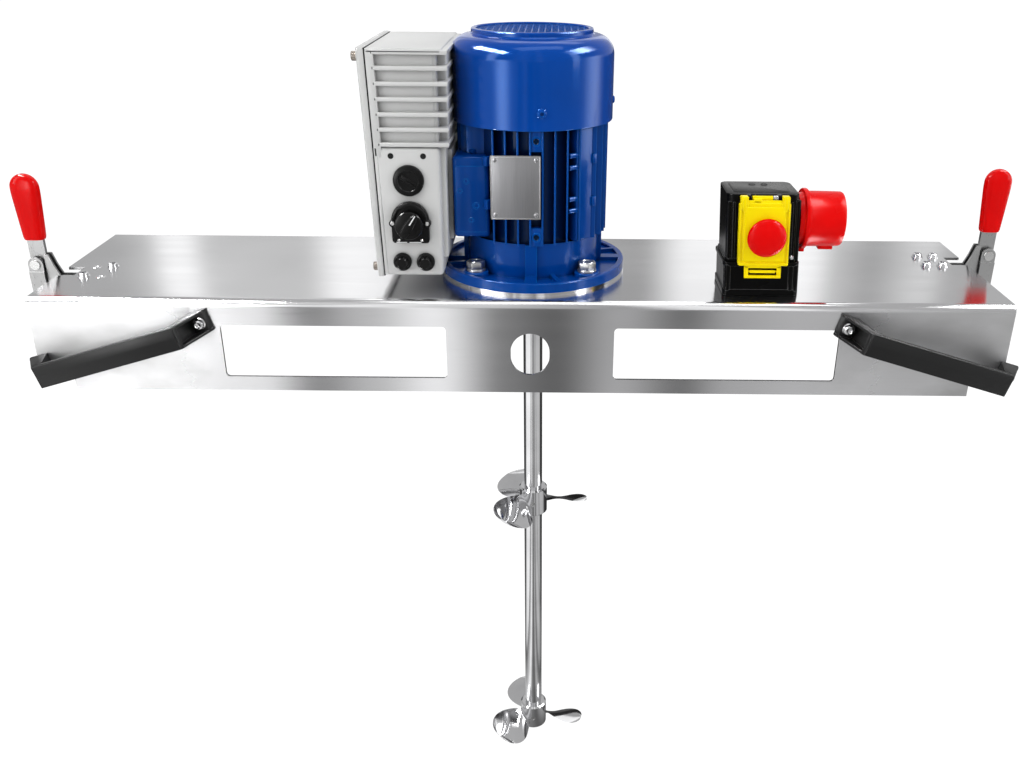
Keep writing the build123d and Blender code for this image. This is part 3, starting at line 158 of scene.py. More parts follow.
floor_paint = bpy.data.materials.new("floor_paint")
floor_paint.use_nodes = True
floor_tree = floor_paint.node_tree
floor_nodes = floor_tree.nodes
floor_nodes.clear()
floor_out = floor_nodes.new("ShaderNodeOutputMaterial")
floor_diffuse = floor_nodes.new("ShaderNodeBsdfDiffuse")
floor_diffuse.inputs["Color"].default_value = (0.86, 0.86, 0.86, 1)
floor_glow = floor_nodes.new("ShaderNodeEmission")
floor_glow.inputs["Strength"].default_value = 1.16
floor_mirror = floor_nodes.new("ShaderNodeEmission")
floor_place = floor_nodes.new("ShaderNodeTexCoord")
floor_spot = split_up(floor_tree, floor_place.outputs["Object"])
floor_across = worked_out(floor_tree, "SUBTRACT", floor_spot["X"], mirror_eye[0])
floor_away = worked_out(floor_tree, "SUBTRACT", mirror_eye[1], floor_spot["Y"])
floor_strips = strip_lights(floor_tree, floor_across, floor_away, front_strips)
floor_tree.links.new(floor_strips, floor_mirror.inputs["Color"])
floor_fade = ranged(floor_tree, floor_spot["Y"], 1.0, 0.06, -0.05, 0.20)
floor_tree.links.new(floor_fade, floor_mirror.inputs["Strength"])
floor_path = floor_nodes.new("ShaderNodeLightPath")
floor_share = worked_out(floor_tree, "MULTIPLY", floor_path.outputs["Is Camera Ray"], 0.80)
floor_lit = blended(floor_tree, floor_share, floor_diffuse.outputs[0], floor_glow.outputs[0])
floor_seen = blended(floor_tree, floor_path.outputs["Is Glossy Ray"], floor_lit, floor_mirror.outputs[0])
floor_tree.links.new(floor_seen, floor_out.inputs["Surface"])
floor_mesh.materials.append(floor_paint)

studio = bpy.data.worlds.new("studio")
bpy.context.scene.world = studio
studio.use_nodes = True
studio_tree = studio.node_tree
studio_nodes = studio_tree.nodes
studio_nodes.clear()
studio_out = studio_nodes.new("ShaderNodeOutputWorld")
studio_dim = studio_nodes.new("ShaderNodeBackground")
studio_dim.inputs["Color"].default_value = (0.97, 0.98, 1.0, 1)
studio_dim.inputs["Strength"].default_value = 0.72
studio_white = studio_nodes.new("ShaderNodeBackground")
studio_white.inputs["Color"].default_value = (1, 1, 1, 1)
studio_mirror = studio_nodes.new("ShaderNodeBackground")
studio_place = studio_nodes.new("ShaderNodeTexCoord")
studio_way = split_up(studio_tree, studio_place.outputs["Generated"])
studio_away = worked_out(studio_tree, "ABSOLUTE", studio_way["Y"])
studio_strips = strip_lights(studio_tree, studio_way["X"], studio_away, back_strips)
studio_tree.links.new(studio_strips, studio_mirror.inputs["Color"])
studio_path = studio_nodes.new("ShaderNodeLightPath")
studio_share = worked_out(
    studio_tree, "MAXIMUM", studio_path.outputs["Is Camera Ray"],
    studio_path.outputs["Is Transmission Ray"],
)
studio_lit = blended(studio_tree, studio_share, studio_dim.outputs[0], studio_white.outputs[0])
studio_seen = blended(
    studio_tree, studio_path.outputs["Is Glossy Ray"], studio_lit, studio_mirror.outputs[0],
)
studio_tree.links.new(studio_seen, studio_out.inputs["Surface"])
bpy.context.scene.view_settings.view_transform = "Standard"

# lamps: (name, place, aimed at, width, height, watts)
for lamp_name, place, aim, wide, high, watts in (
    ("lamp_top", (0.15, -0.35, 1.7), (0, 0, 0.05), 1.2, 0.5, 6.5),
    ("lamp_left", (-1.7, -1.1, 0.9), (-0.1, 0, 0.1), 0.5, 1.4, 15),
    ("lamp_right", (1.8, -0.9, 0.8), (0.1, 0, 0.1), 0.4, 1.4, 11),
    ("lamp_back", (0.2, 1.3, 2.3), (0, 0, 0.1), 1.8, 0.6, 8),
):
    lamp_data = bpy.data.lights.new(lamp_name, "AREA")
    lamp_data.shape = "RECTANGLE"
    lamp_data.size = wide
    lamp_data.size_y = high
    lamp_data.energy = watts
    lamp = bpy.data.objects.new(lamp_name, lamp_data)
    lamp.location = place
    lamp.rotation_euler = (Vector(aim) - Vector(place)).to_track_quat("-Z", "Y").to_euler()
    bpy.context.scene.collection.objects.link(lamp)


# soft cards and a window round the object, seen only in glossy surfaces
def glowing_card(name, place, target, wide, high, strength, panes=0):
    """A card that faces the target, brightest in its middle, or split into window panes."""
    paint = bpy.data.materials.new(name)
    paint.use_nodes = True
    tree = paint.node_tree
    nodes = tree.nodes
    nodes.clear()
    out = nodes.new("ShaderNodeOutputMaterial")
    clear = nodes.new("ShaderNodeBsdfTransparent")
    glow = nodes.new("ShaderNodeEmission")
    glow.inputs["Strength"].default_value = strength
    path = nodes.new("ShaderNodeLightPath")
    spread = nodes.new("ShaderNodeUVMap")
    spread.uv_map = "spread"
    bell = nodes.new("ShaderNodeFloatCurve")
    curve = bell.mapping.curves[0]
    if panes:
        for pane in range(panes):
            for spot, level in ((0.02, 0), (0.08, 1), (0.84, 1), (0.90, 0)):
                curve.points.new((pane + spot) / panes, level)
    else:
        for spot, level in ((0.15, 0.12), (0.35, 0.75), (0.5, 1.0), (0.65, 0.75), (0.85, 0.12)):
            curve.points.new(spot, level)
    curve.points[0].location = (0, 0)
    curve.points[len(curve.points) - 1].location = (1, 0)
    bell.mapping.update()
    tree.links.new(split_up(tree, spread.outputs[0])["X"], bell.inputs["Value"])
    share = worked_out(tree, "MULTIPLY", bell.outputs[0], path.outputs["Is Glossy Ray"])
    shown = blended(tree, share, clear.outputs[0], glow.outputs[0])
    tree.links.new(shown, out.inputs["Surface"])
    sheet = bmesh.new()
    facing = (Vector(target) - Vector(place)).to_track_quat("Z", "Y").to_matrix().to_4x4()
    stand = Matrix.Translation(place) @ facing
    layer = sheet.loops.layers.uv.new("spread")
    corners = ((-0.5, -0.5), (0.5, -0.5), (0.5, 0.5), (-0.5, 0.5))
    verts = [sheet.verts.new(stand @ Vector((x * wide, y * high, 0))) for x, y in corners]
    face = sheet.faces.new(verts)
    for loop, corner in zip(face.loops, corners):
        loop[layer].uv = (corner[0] + 0.5, corner[1] + 0.5)
    mesh = bpy.data.meshes.new(name)
    sheet.to_mesh(mesh)
    sheet.free()
    mesh.materials.append(paint)
    card = bpy.data.objects.new(name, mesh)
    bpy.context.scene.collection.objects.link(card)


motor_top = (0, 0, 0.29)
glowing_card("card_left", (-0.74, -0.90, 0.20), (0, 0, 0.24), 0.75, 0.40, 11)
glowing_card("card_right", (1.50, 0.05, 0.20), (0, 0, 0.20), 1.50, 0.60, 5.5)
glowing_card("card_arc", (1.20, -0.10, 1.25), motor_top, 1.50, 0.55, 48)
glowing_card("card_window", (-1.06, -0.32, 1.36), motor_top, 1.50, 0.36, 130, 3)

# ---------------------------------------------------------------- bridge
# A single sheet of stainless steel, ground along its length and folded into a channel. The ends
# of its upright panels are duller and cloudy, and the laser-cut edges at the sides are dark.


def finish_with(material, *names):
    """Give solids of the frame one finished material."""
    for name in names:
        mesh = nodes[name].data
        mesh.materials.clear()
        mesh.materials.append(material)


def noise(tree, coordinates, scale, detail, stretch=(1, 1, 1)):
    """A noise in object coordinates, stretched to follow the way a surface was worked."""
    mapping = tree.nodes.new("ShaderNodeMapping")
    mapping.inputs["Scale"].default_value = stretch
    texture = tree.nodes.new("ShaderNodeTexNoise")
    texture.inputs["Scale"].default_value = scale
    texture.inputs["Detail"].default_value = detail
    tree.links.new(coordinates.outputs["Object"], mapping.inputs["Vector"])
    tree.links.new(mapping.outputs[0], texture.inputs["Vector"])
    return texture.outputs["Fac"]


def mixed(tree, share, first, second):
    """Mix two colours by a share."""
    mix = tree.nodes.new("ShaderNodeMix")
    mix.data_type = "RGBA"
    mix.inputs["A"].default_value = (*first, 1) if isinstance(first, tuple) else (1, 1, 1, 1)
    mix.inputs["B"].default_value = (*second, 1)
    if not isinstance(first, tuple):
        tree.links.new(first, mix.inputs["A"])
    tree.links.new(share, mix.inputs["Factor"])
    return mix.outputs["Result"]


def bumped(tree, shader, height, distance):
    """Raise a height map on a shader, on top of the bump it already has."""
    bump = tree.nodes.new("ShaderNodeBump")
    bump.inputs["Distance"].default_value = distance
    tree.links.new(height, bump.inputs["Height"])
    if shader.inputs["Normal"].links:
        tree.links.new(shader.inputs["Normal"].links[0].from_socket, bump.inputs["Normal"])
    tree.links.new(bump.outputs[0], shader.inputs["Normal"])


def edge_wear_and_highlight_mask(tree, radius):
    """A share that is 1 along the sharp edges of a piece and 0 on its faces, for edges painted lighter as
    wear and highlight.
    """
    bevel = tree.nodes.new("ShaderNodeBevel")
    bevel.samples = 4
    bevel.inputs["Radius"].default_value = radius
    plain = tree.nodes.new("ShaderNodeNewGeometry")
    alignment = tree.nodes.new("ShaderNodeVectorMath")
    alignment.operation = "DOT_PRODUCT"
    tree.links.new(bevel.outputs[0], alignment.inputs[0])
    tree.links.new(plain.outputs["Normal"], alignment.inputs[1])
    return ranged(tree, alignment.outputs["Value"], 1.0, 0.0, 0.80, 0.985)


def shade_in_hollows(tree, reach):
    """How deep a spot lies in a hollow, from 0 in a narrow gap to 1 in the open, for painted shade in gaps
    and hollows.
    """
    node = tree.nodes.new("ShaderNodeAmbientOcclusion")
    node.samples = 6
    node.inputs["Distance"].default_value = reach
    return node.outputs["AO"]


def new_finish(name, roughness=0.5, metallic=0.0):
    """An empty principled material and its object coordinates."""
    material = bpy.data.materials.new(name)
    material.use_nodes = True
    tree = material.node_tree
    shader = tree.nodes["Principled BSDF"]
    shader.inputs["Roughness"].default_value = roughness
    shader.inputs["Metallic"].default_value = metallic
    coordinates = tree.nodes.new("ShaderNodeTexCoord")
    return material, tree, shader, coordinates


def ground_steel(name, colour, dark, stretch, rough_low, rough_high, height, anisotropy=0.0):
    """Ground steel: fine long scratches, faint cloudy bands and edges painted bright as a highlight."""
    material, tree, shader, coordinates = new_finish(name, metallic=1.0)
    if anisotropy:
        shader.inputs["Anisotropic"].default_value = anisotropy
        along = tree.nodes.new("ShaderNodeCombineXYZ")
        along.inputs["Y"].default_value = 1.0
        along.inputs["Z"].default_value = 1.0
        tree.links.new(along.outputs[0], shader.inputs["Tangent"])
    lines = noise(tree, coordinates, 900, 2, stretch)
    clouds = noise(tree, coordinates, 5, 2)
    smears = noise(tree, coordinates, 60, 3, stretch)
    tone = mixed(tree, ranged(tree, clouds, 0, 1), colour, dark)
    tone = mixed(tree, ranged(tree, lines, 0, 0.35, 0.5, 0.8), tone, dark)
    # the edges are painted near-white: a painted highlight
    tone = mixed(tree, edge_wear_and_highlight_mask(tree, 0.0006), tone, (0.9, 0.9, 0.9))
    tree.links.new(tone, shader.inputs["Base Color"])
    tree.links.new(ranged(tree, smears, rough_low, rough_high), shader.inputs["Roughness"])
    bumped(tree, shader, lines, height)
    return material


sheet_steel = ground_steel(
    "sheet_steel", (0.72, 0.72, 0.73), (0.60, 0.60, 0.61), (0.03, 1, 1), 0.12, 0.16, 0.000003, 0.9,
)
# both ends of the upright panels are ground duller, so what stands near them shows only faintly
steel_tree = sheet_steel.node_tree
steel_shader = steel_tree.nodes["Principled BSDF"]
steel_place = steel_tree.nodes.new("ShaderNodeTexCoord")
steel_spot = split_up(steel_tree, steel_place.outputs["Object"])
steel_normal = steel_tree.nodes.new("ShaderNodeNewGeometry")
steel_facing = split_up(steel_tree, steel_normal.outputs["Normal"])
steel_far = ranged(steel_tree, worked_out(steel_tree, "ABSOLUTE", steel_spot["X"]), 0, 1, 0.27, 0.37)
steel_front = ranged(steel_tree, worked_out(steel_tree, "ABSOLUTE", steel_facing["Y"]), 0, 1, 0.9, 0.98)
steel_haze = worked_out(steel_tree, "MULTIPLY", steel_far, steel_front)
steel_grain = steel_shader.inputs["Roughness"].links[0].from_socket
steel_rough = worked_out(steel_tree, "MULTIPLY_ADD", steel_haze, 0.15, steel_grain)
steel_tree.links.new(steel_rough, steel_shader.inputs["Roughness"])
steel_tree.links.new(ranged(steel_tree, steel_haze, 1.0, 0.86, 0, 1), steel_shader.inputs["Metallic"])
# grey clouds lie on those ends, and the laser-cut edges that face sideways are darker still
steel_tone = steel_shader.inputs["Base Color"].links[0].from_socket
steel_stain = ranged(steel_tree, noise(steel_tree, steel_place, 9, 4, (1, 1, 2)), 0.22, 0.95, 0.42, 0.68)
steel_cloud = worked_out(steel_tree, "MULTIPLY", steel_stain, steel_haze)
steel_tone = mixed(steel_tree, steel_cloud, steel_tone, (0.42, 0.42, 0.42))
steel_side = ranged(steel_tree, worked_out(steel_tree, "ABSOLUTE", steel_facing["X"]), 0, 1, 0.8, 0.95)
steel_tone = mixed(steel_tree, steel_side, steel_tone, (0.07, 0.07, 0.07))
steel_tree.links.new(steel_tone, steel_shader.inputs["Base Color"])
finish_with(sheet_steel, "bridge_channel")

# ---------------------------------------------------------------- seat ring, shaft and sleeve
# The motor stands on a turned stainless ring welded to the plate. Below it hang a bored coupling
# sleeve and a long ground shaft, all polished, with fine turning marks left round them.


def polished_steel(name, colour, dark, ring_scale, rough_low, rough_high, height):
    """Polished steel with fine marks round the Z axis and edges painted bright as a highlight."""
    material, tree, shader, coordinates = new_finish(name, metallic=1.0)
    marks = noise(tree, coordinates, ring_scale, 2, (0.05, 0.05, 1))
    clouds = noise(tree, coordinates, 30, 3)
    tone = mixed(tree, ranged(tree, clouds, 0, 1), colour, dark)
    # the edges are painted near-white: a painted highlight
    tone = mixed(tree, edge_wear_and_highlight_mask(tree, 0.0004), tone, (0.92, 0.92, 0.92))
    tree.links.new(tone, shader.inputs["Base Color"])
    tree.links.new(ranged(tree, clouds, rough_low, rough_high), shader.inputs["Roughness"])
    bumped(tree, shader, marks, height)
    return material


turned_steel = polished_steel(
    "turned_steel", (0.70, 0.70, 0.71), (0.60, 0.60, 0.61), 900, 0.08, 0.14, 0.000004,
)
mirror_steel = polished_steel(
    "mirror_steel", (0.66, 0.66, 0.67), (0.58, 0.58, 0.59), 200, 0.05, 0.09, 0.000004,
)
zinc_steel = polished_steel("zinc_steel", (0.66, 0.66, 0.65), (0.52, 0.52, 0.52), 300, 0.20, 0.32, 0.00002)
finish_with(
    turned_steel, "motor_seat_ring", "stirrer_shaft", "coupling_sleeve", "motor_shaft",
    "bearing_inner_rings", "bearing_outer_rings",
)
finish_with(mirror_steel, "upper_propeller", "lower_propeller")
finish_with(turned_steel, "flange_nuts", "m6_nuts")
finish_with(zinc_steel, "set_screws")

# ---------------------------------------------------------------- motor body
# Cast aluminium end shields and a finned frame under one thick coat of gentian blue paint. The
# frame has straight fins on four sides, a boss for the tie bolt in front, and lugs for feet.


def painted(name, colour, thin_and_highlit_edge_tone, roughness, peel_scale, peel_height, cast_height=0.0):
    """Thick glossy paint with an orange-peel skin, thinner along the edges and painted brighter there as a
    highlight, with painted shade in its hollows.
    """
    material, tree, shader, coordinates = new_finish(name)
    clouds = noise(tree, coordinates, 12, 3)
    peel = noise(tree, coordinates, peel_scale, 2)
    dark = tuple(0.82 * value for value in colour)
    tone = mixed(tree, ranged(tree, clouds, 0, 1), colour, dark)
    # the edges take a lighter tone: thinner paint and a painted highlight
    tone = mixed(tree, edge_wear_and_highlight_mask(tree, 0.0007), tone, thin_and_highlit_edge_tone)
    # hollows and gaps are painted dark: painted shade
    shade = tuple(0.12 * value for value in colour)
    tone = mixed(tree, ranged(tree, shade_in_hollows(tree, 0.012), 1, 0, 0.1, 0.6), tone, shade)
    tree.links.new(tone, shader.inputs["Base Color"])
    tree.links.new(ranged(tree, clouds, roughness, roughness + 0.08), shader.inputs["Roughness"])
    shader.inputs["Specular IOR Level"].default_value = 0.30
    shader.inputs["Specular Tint"].default_value = (0.10, 0.40, 1.0, 1)
    shader.inputs["Coat Weight"].default_value = 0.15
    shader.inputs["Coat Roughness"].default_value = 0.06
    bumped(tree, shader, peel, peel_height)
    if cast_height:
        bumped(tree, shader, noise(tree, coordinates, 160, 4), cast_height)
    return material


cast_blue = painted("cast_blue", (0.0, 0.048, 0.28), (0.004, 0.17, 0.60), 0.20, 500, 0.00003, 0.00006)
smooth_blue = painted("smooth_blue", (0.0, 0.052, 0.33), (0.004, 0.15, 0.56), 0.13, 350, 0.000015)
# a darker copy of the blue for the barrel between the fins: painted shade
shaded_core_blue = painted("shaded_core_blue", (0.0, 0.014, 0.085), (0.0, 0.03, 0.15), 0.35, 500, 0.00004, 0.00008)
finish_with(cast_blue, "drive_end_shield", "fan_end_shield")

mm = 0.001


def in_mm(*points):
    """Points written in millimetres, as metres."""
    return [tuple(value * mm for value in point) for point in points]


def arc_points(across, up, radius, angles):
    """Points on a circle, at angles in degrees."""
    turns = [math.radians(angle) for angle in angles]
    return [(across + radius * math.cos(turn), up + radius * math.sin(turn)) for turn in turns]


def shifted(across, back, up):
    """A move along X, Y and Z."""
    return Matrix.Translation((across, back, up))


def swung(degrees, axis="Z"):
    """A turn round an axis through the origin."""
    return Matrix.Rotation(math.radians(degrees), 4, axis)


def facing_front(place):
    """A place on a front face, with X to the right, Y up and Z out towards the user."""
    return Matrix.Translation(place) @ swung(90, "X")


def softened(shape, edges, offset, segments):
    """Round some edges off."""
    bmesh.ops.bevel(
        shape, geom=edges, offset=offset, segments=segments, profile=0.5, affect="EDGES",
        material=-1, clamp_overlap=True,
    )


def slab(shape, outline, matrix, depth, soft=0.0, segments=2):
    """Extrude an outline from the matrix's XY plane along its Z axis, and soften its edges."""
    verts = [shape.verts.new(matrix @ Vector((x, y, 0))) for x, y in outline]
    face = shape.faces.new(verts)
    grown = bmesh.ops.extrude_face_region(shape, geom=[face], use_keep_orig=True)["geom"]
    moved = [item for item in grown if isinstance(item, bmesh.types.BMVert)]
    bmesh.ops.translate(shape, verts=moved, vec=matrix.to_3x3() @ Vector((0, 0, depth)))
    corners = set(moved) | set(face.verts)
    if soft:
        edges = [edge for edge in shape.edges if edge.verts[0] in corners and edge.verts[1] in corners]
        softened(shape, edges, soft, segments)


def block(shape, low, high, soft=0.0, segments=2, matrix=None):
    """A box between two corners, with softened edges."""
    outline = ((low[0], low[1]), (high[0], low[1]), (high[0], high[1]), (low[0], high[1]))
    base = (matrix or Matrix.Identity(4)) @ shifted(0, 0, low[2])
    slab(shape, outline, base, high[2] - low[2], soft, segments)


def rod(shape, start, end, radius, soft=0.0, sides=32):
    """A round bar between two points, with softened rims."""
    start, end = Vector(start), Vector(end)
    along = end - start
    turn = along.to_track_quat("Z", "Y").to_matrix().to_4x4()
    made = bmesh.ops.create_cone(
        shape, cap_ends=True, segments=sides, radius1=radius, radius2=radius, depth=along.length,
        matrix=Matrix.Translation((start + end) / 2) @ turn,
    )["verts"]
    if soft:
        near = set(made)
        rims = [edge for edge in shape.edges if edge.verts[0] in near and edge.verts[1] in near]
        flat = along.length * 1e-4
        way = along.normalized()
        rims = [edge for edge in rims if abs((edge.verts[0].co - edge.verts[1].co).dot(way)) < flat]
        softened(shape, rims, soft, 3)


def turned(shape, profile, matrix=None, steps=72):
    """Turn a profile of (radius, height) round the matrix's Z axis."""
    matrix = matrix or Matrix.Identity(4)
    verts = [shape.verts.new(matrix @ Vector((radius, 0, height))) for radius, height in profile]
    edges = [shape.edges.new(pair) for pair in zip(verts, verts[1:])]
    bmesh.ops.spin(
        shape, geom=verts + edges, cent=matrix.translation, axis=matrix.to_3x3() @ Vector((0, 0, 1)),
        angle=math.tau, steps=steps, use_merge=True, use_duplicate=False,
    )
    bmesh.ops.remove_doubles(shape, verts=shape.verts, dist=1e-7)


def finished(name, shape, material, body, replaced=(), sharp=32):
    """Close a piece: clean normals, smooth shading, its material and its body."""
    bmesh.ops.recalc_face_normals(shape, faces=shape.faces)
    mesh = bpy.data.meshes.new(name)
    shape.to_mesh(mesh)
    shape.free()
    mesh.materials.append(material)
    mesh.shade_smooth()
    mesh.set_sharp_from_angle(angle=math.radians(sharp))
    piece = bpy.data.objects.new(name, mesh)
    bpy.context.scene.collection.objects.link(piece)
    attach(piece, body)
    if replaced:
        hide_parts(*replaced)
    return piece


frame_low, frame_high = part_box("motor_frame")
fin_reach = frame_high.x
core_radius = fin_reach - 13.5 * mm
wall = 6 * mm
# the barrel deep between the fins wears the darker blue as painted shade
shape = bmesh.new()
turned(shape, (
    (core_radius - wall, frame_low.z), (core_radius, frame_low.z), (core_radius, frame_high.z),
    (core_radius - wall, frame_high.z), (core_radius - wall, frame_low.z),
))
finished("frame_barrel", shape, shaded_core_blue, "bridge")
shape = bmesh.new()
# four groups of straight fins; the front one has its pattern a little off the middle
fin_pitch = 12.45 * mm
fin_height = 116 * mm
for quarter in range(4):
    turn = swung(90 * quarter)
    for index in range(8):
        place = (-38 * mm if quarter == 0 else -43.5 * mm) + index * fin_pitch
        tip = math.sqrt(fin_reach ** 2 - place ** 2) - 0.3 * mm
        root = math.sqrt(core_radius ** 2 - place ** 2) - 2 * mm
        outline = (
            (place - 1.5 * mm, -root), (place + 1.5 * mm, -root), (place + 0.9 * mm, -tip),
            (place - 0.9 * mm, -tip),
        )
        fin_place = turn @ shifted(0, 0, frame_low.z + 0.4 * mm)
        slab(shape, outline, fin_place, fin_height, 0.7 * mm)
    # at each corner a flat pad for a foot, with short bars and lugs across the fins beside it
    corner = turn @ swung(45)
    if quarter != 3:
        block(
            shape, (-11 * mm, -fin_reach + 2.5 * mm, frame_low.z + 1 * mm),
            (11 * mm, -core_radius + 2 * mm, frame_high.z - 1 * mm), 1.5 * mm, 3, corner,
        )
    for level in (40 * mm, 84 * mm):
        for lift in (-6 * mm, 6 * mm):
            bar_z = frame_low.z + level + lift
            rod(
                shape, turn @ Vector((38 * mm, -66 * mm, bar_z)),
                turn @ Vector((48 * mm, -58 * mm, bar_z)), 2.6 * mm, soft=0.5 * mm, sides=16,
            )
        block(
            shape, (10 * mm, -fin_reach + 0.6 * mm, frame_low.z + level - 5 * mm),
            (16 * mm, -fin_reach + 8 * mm, frame_low.z + level + 5 * mm), 1.0 * mm, 2, corner,
        )
# the tie-bolt boss between the two middle fins, above and below the nameplate
plate_low, plate_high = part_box("nameplate")
bore_places = []
for boss_low, boss_high in ((frame_low.z, plate_low.z - 10 * mm), (plate_high.z + 3 * mm, frame_high.z)):
    block(shape, (-0.5 * mm, -77.5 * mm, boss_low), (11.5 * mm, -62 * mm, boss_high), 0.8 * mm)
    bore_place = facing_front((5.5 * mm, -77.4 * mm, (boss_low + boss_high) / 2))
    bore_places.append(bore_place)
    turned(shape, in_mm((5, 0), (4.6, 0.8), (3.2, 0.8), (2.9, 0.4), (2.9, -4), (0, -4)), bore_place, 24)
finished("finned_frame", shape, cast_blue, "bridge", ("motor_frame",))

# the tie bolts' wells in the two bosses: deep and unlit, painted near-black as shade
well_shade_blue = painted("well_shade_blue", (0.0, 0.003, 0.014), (0.0, 0.008, 0.03), 0.5, 500, 0.00003)
shape = bmesh.new()
for bore_place in bore_places:
    turned(shape, in_mm((3.1, 0.1), (2.8, 0.9), (2.5, 0.7), (2.2, 0.25), (0, 0.2)), bore_place, 24)
finished("boss_wells", shape, well_shade_blue, "bridge")

# the terminal box: a flat-sided casting with round corners, blind screw bosses and a rim
box_low, box_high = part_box("terminal_box")
box_low = box_low + Vector((0, -13 * mm, -4 * mm))
shape = bmesh.new()
block(shape, box_low, box_high + Vector((4 * mm, 0, 0)), 4.5 * mm, 4)
block(
    shape, (box_low.x + 3 * mm, box_low.y - 0.6 * mm, box_low.z + 6 * mm),
    (box_high.x, box_low.y + 3 * mm, box_high.z - 10 * mm), 0.6 * mm,
)
for boss_x, boss_z, boss_size in (
    (0.42, 0.70, 2.6), (0.22, 0.58, 2.2), (0.72, 0.40, 3.0), (0.55, 0.22, 2.2),
):
    boss_at = Vector((
        box_low.x + boss_x * (box_high.x - box_low.x), box_low.y - 0.5 * mm,
        box_low.z + boss_z * (box_high.z - box_low.z),
    ))
    turned(shape, (
        (boss_size * 1.35 * mm, 0), (boss_size * 1.2 * mm, 0.5 * mm), (boss_size * 0.8 * mm, 0.5 * mm),
        (boss_size * 0.7 * mm, -0.3 * mm), (0, -0.3 * mm),
    ), facing_front(boss_at), 24)
finished("terminal_housing", shape, cast_blue, "bridge", ("terminal_box",))

# ---------------------------------------------------------------- fan cowl
# A deep-drawn steel cap over the fan, painted with the motor. Its top is a guard of crossed bars
# over a near-black disc of painted shade, and it is held by screws in its skirt that carry the same paint.

cowl_low, cowl_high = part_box("fan_cowl")
cowl_radius = cowl_high.x
shoulder = 19 * mm
ring_radius = 62 * mm
ring_height = 6 * mm
shape = bmesh.new()
profile = [
    (cowl_radius - 1.8 * mm, cowl_low.z), (cowl_radius - 0.3 * mm, cowl_low.z),
    (cowl_radius, cowl_low.z + 0.6 * mm), (cowl_radius, cowl_high.z - ring_height - shoulder),
]
profile += arc_points(
    cowl_radius - shoulder, cowl_high.z - ring_height - shoulder, shoulder,
    [90 * step / 12 for step in range(1, 13)],
)
profile += [
    (ring_radius + 1.2 * mm, cowl_high.z - ring_height + 0.3 * mm),
    (ring_radius, cowl_high.z - ring_height + 1.6 * mm), (ring_radius, cowl_high.z - 1.4 * mm),
    (ring_radius - 0.5 * mm, cowl_high.z - 0.4 * mm), (ring_radius - 1.6 * mm, cowl_high.z),
    (ring_radius - 3.6 * mm, cowl_high.z), (ring_radius - 4.6 * mm, cowl_high.z - 1.0 * mm),
    (ring_radius - 4.8 * mm, cowl_high.z - 8 * mm),
    (cowl_radius - shoulder, cowl_high.z - ring_height - 2 * mm),
    (cowl_radius - 1.8 * mm, cowl_high.z - 26 * mm), (cowl_radius - 1.8 * mm, cowl_low.z),
]
turned(shape, profile, None, 128)
finished("cowl_skin", shape, smooth_blue, "bridge", ("fan_cowl",), 25)

shape = bmesh.new()
guard_radius = ring_radius - 4.4 * mm
guard_z = cowl_high.z - 2.2 * mm
for row in range(-5, 6):
    across = row * 10.2 * mm
    half = math.sqrt(guard_radius ** 2 - across ** 2)
    bar_low = (-half, across - 0.9 * mm, guard_z - 0.4 * mm)
    block(shape, bar_low, (half, across + 0.9 * mm, guard_z + 0.5 * mm), 0.3 * mm)
for row in range(-8, 9):
    across = row * 6.6 * mm
    half = math.sqrt(guard_radius ** 2 - across ** 2)
    bar_low = (across - 0.7 * mm, -half, guard_z - 0.6 * mm)
    block(shape, bar_low, (across + 0.7 * mm, half, guard_z + 0.3 * mm), 0.3 * mm)
finished("cowl_guard", shape, smooth_blue, "bridge")

# a near-black disc under the guard, painted shade seen between the bars
shape = bmesh.new()
turned(shape, (
    (guard_radius, 0), (guard_radius, -0.8 * mm), (0, -0.8 * mm),
), shifted(0, 0, guard_z - 7 * mm), 64)
guard_shade_dark = painted("guard_shade_dark", (0.0, 0.008, 0.03), (0.0, 0.02, 0.06), 0.4, 500, 0.00002)
finished("cowl_shade_disc", shape, guard_shade_dark, "bridge")

shape = bmesh.new()
screw_low, screw_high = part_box("cowl_screws")
screw_z = (screw_low.z + screw_high.z) / 2
for angle in (-82.5, 7.5, 97.5):
    outward = swung(angle) @ swung(90, "Y")
    seat = shifted(0, 0, screw_z) @ outward @ shifted(0, 0, cowl_radius - 0.2 * mm)
    turned(shape, in_mm(
        (4.9, 0), (4.9, 0.5), (4.5, 0.9), (4.0, 1.0), (3.8, 2.4), (3.0, 3.0),
        (2.0, 3.1), (1.8, 1.4), (0, 1.2),
    ), seat, 24)
finished("skirt_screws", shape, smooth_blue, "bridge", ("cowl_screws",))

# ---------------------------------------------------------------- flange bolts
# Four bright M10 bolts with a washer each hold the motor down. Each washer lies on a spot-faced
# boss of the flange, which the paint covers.

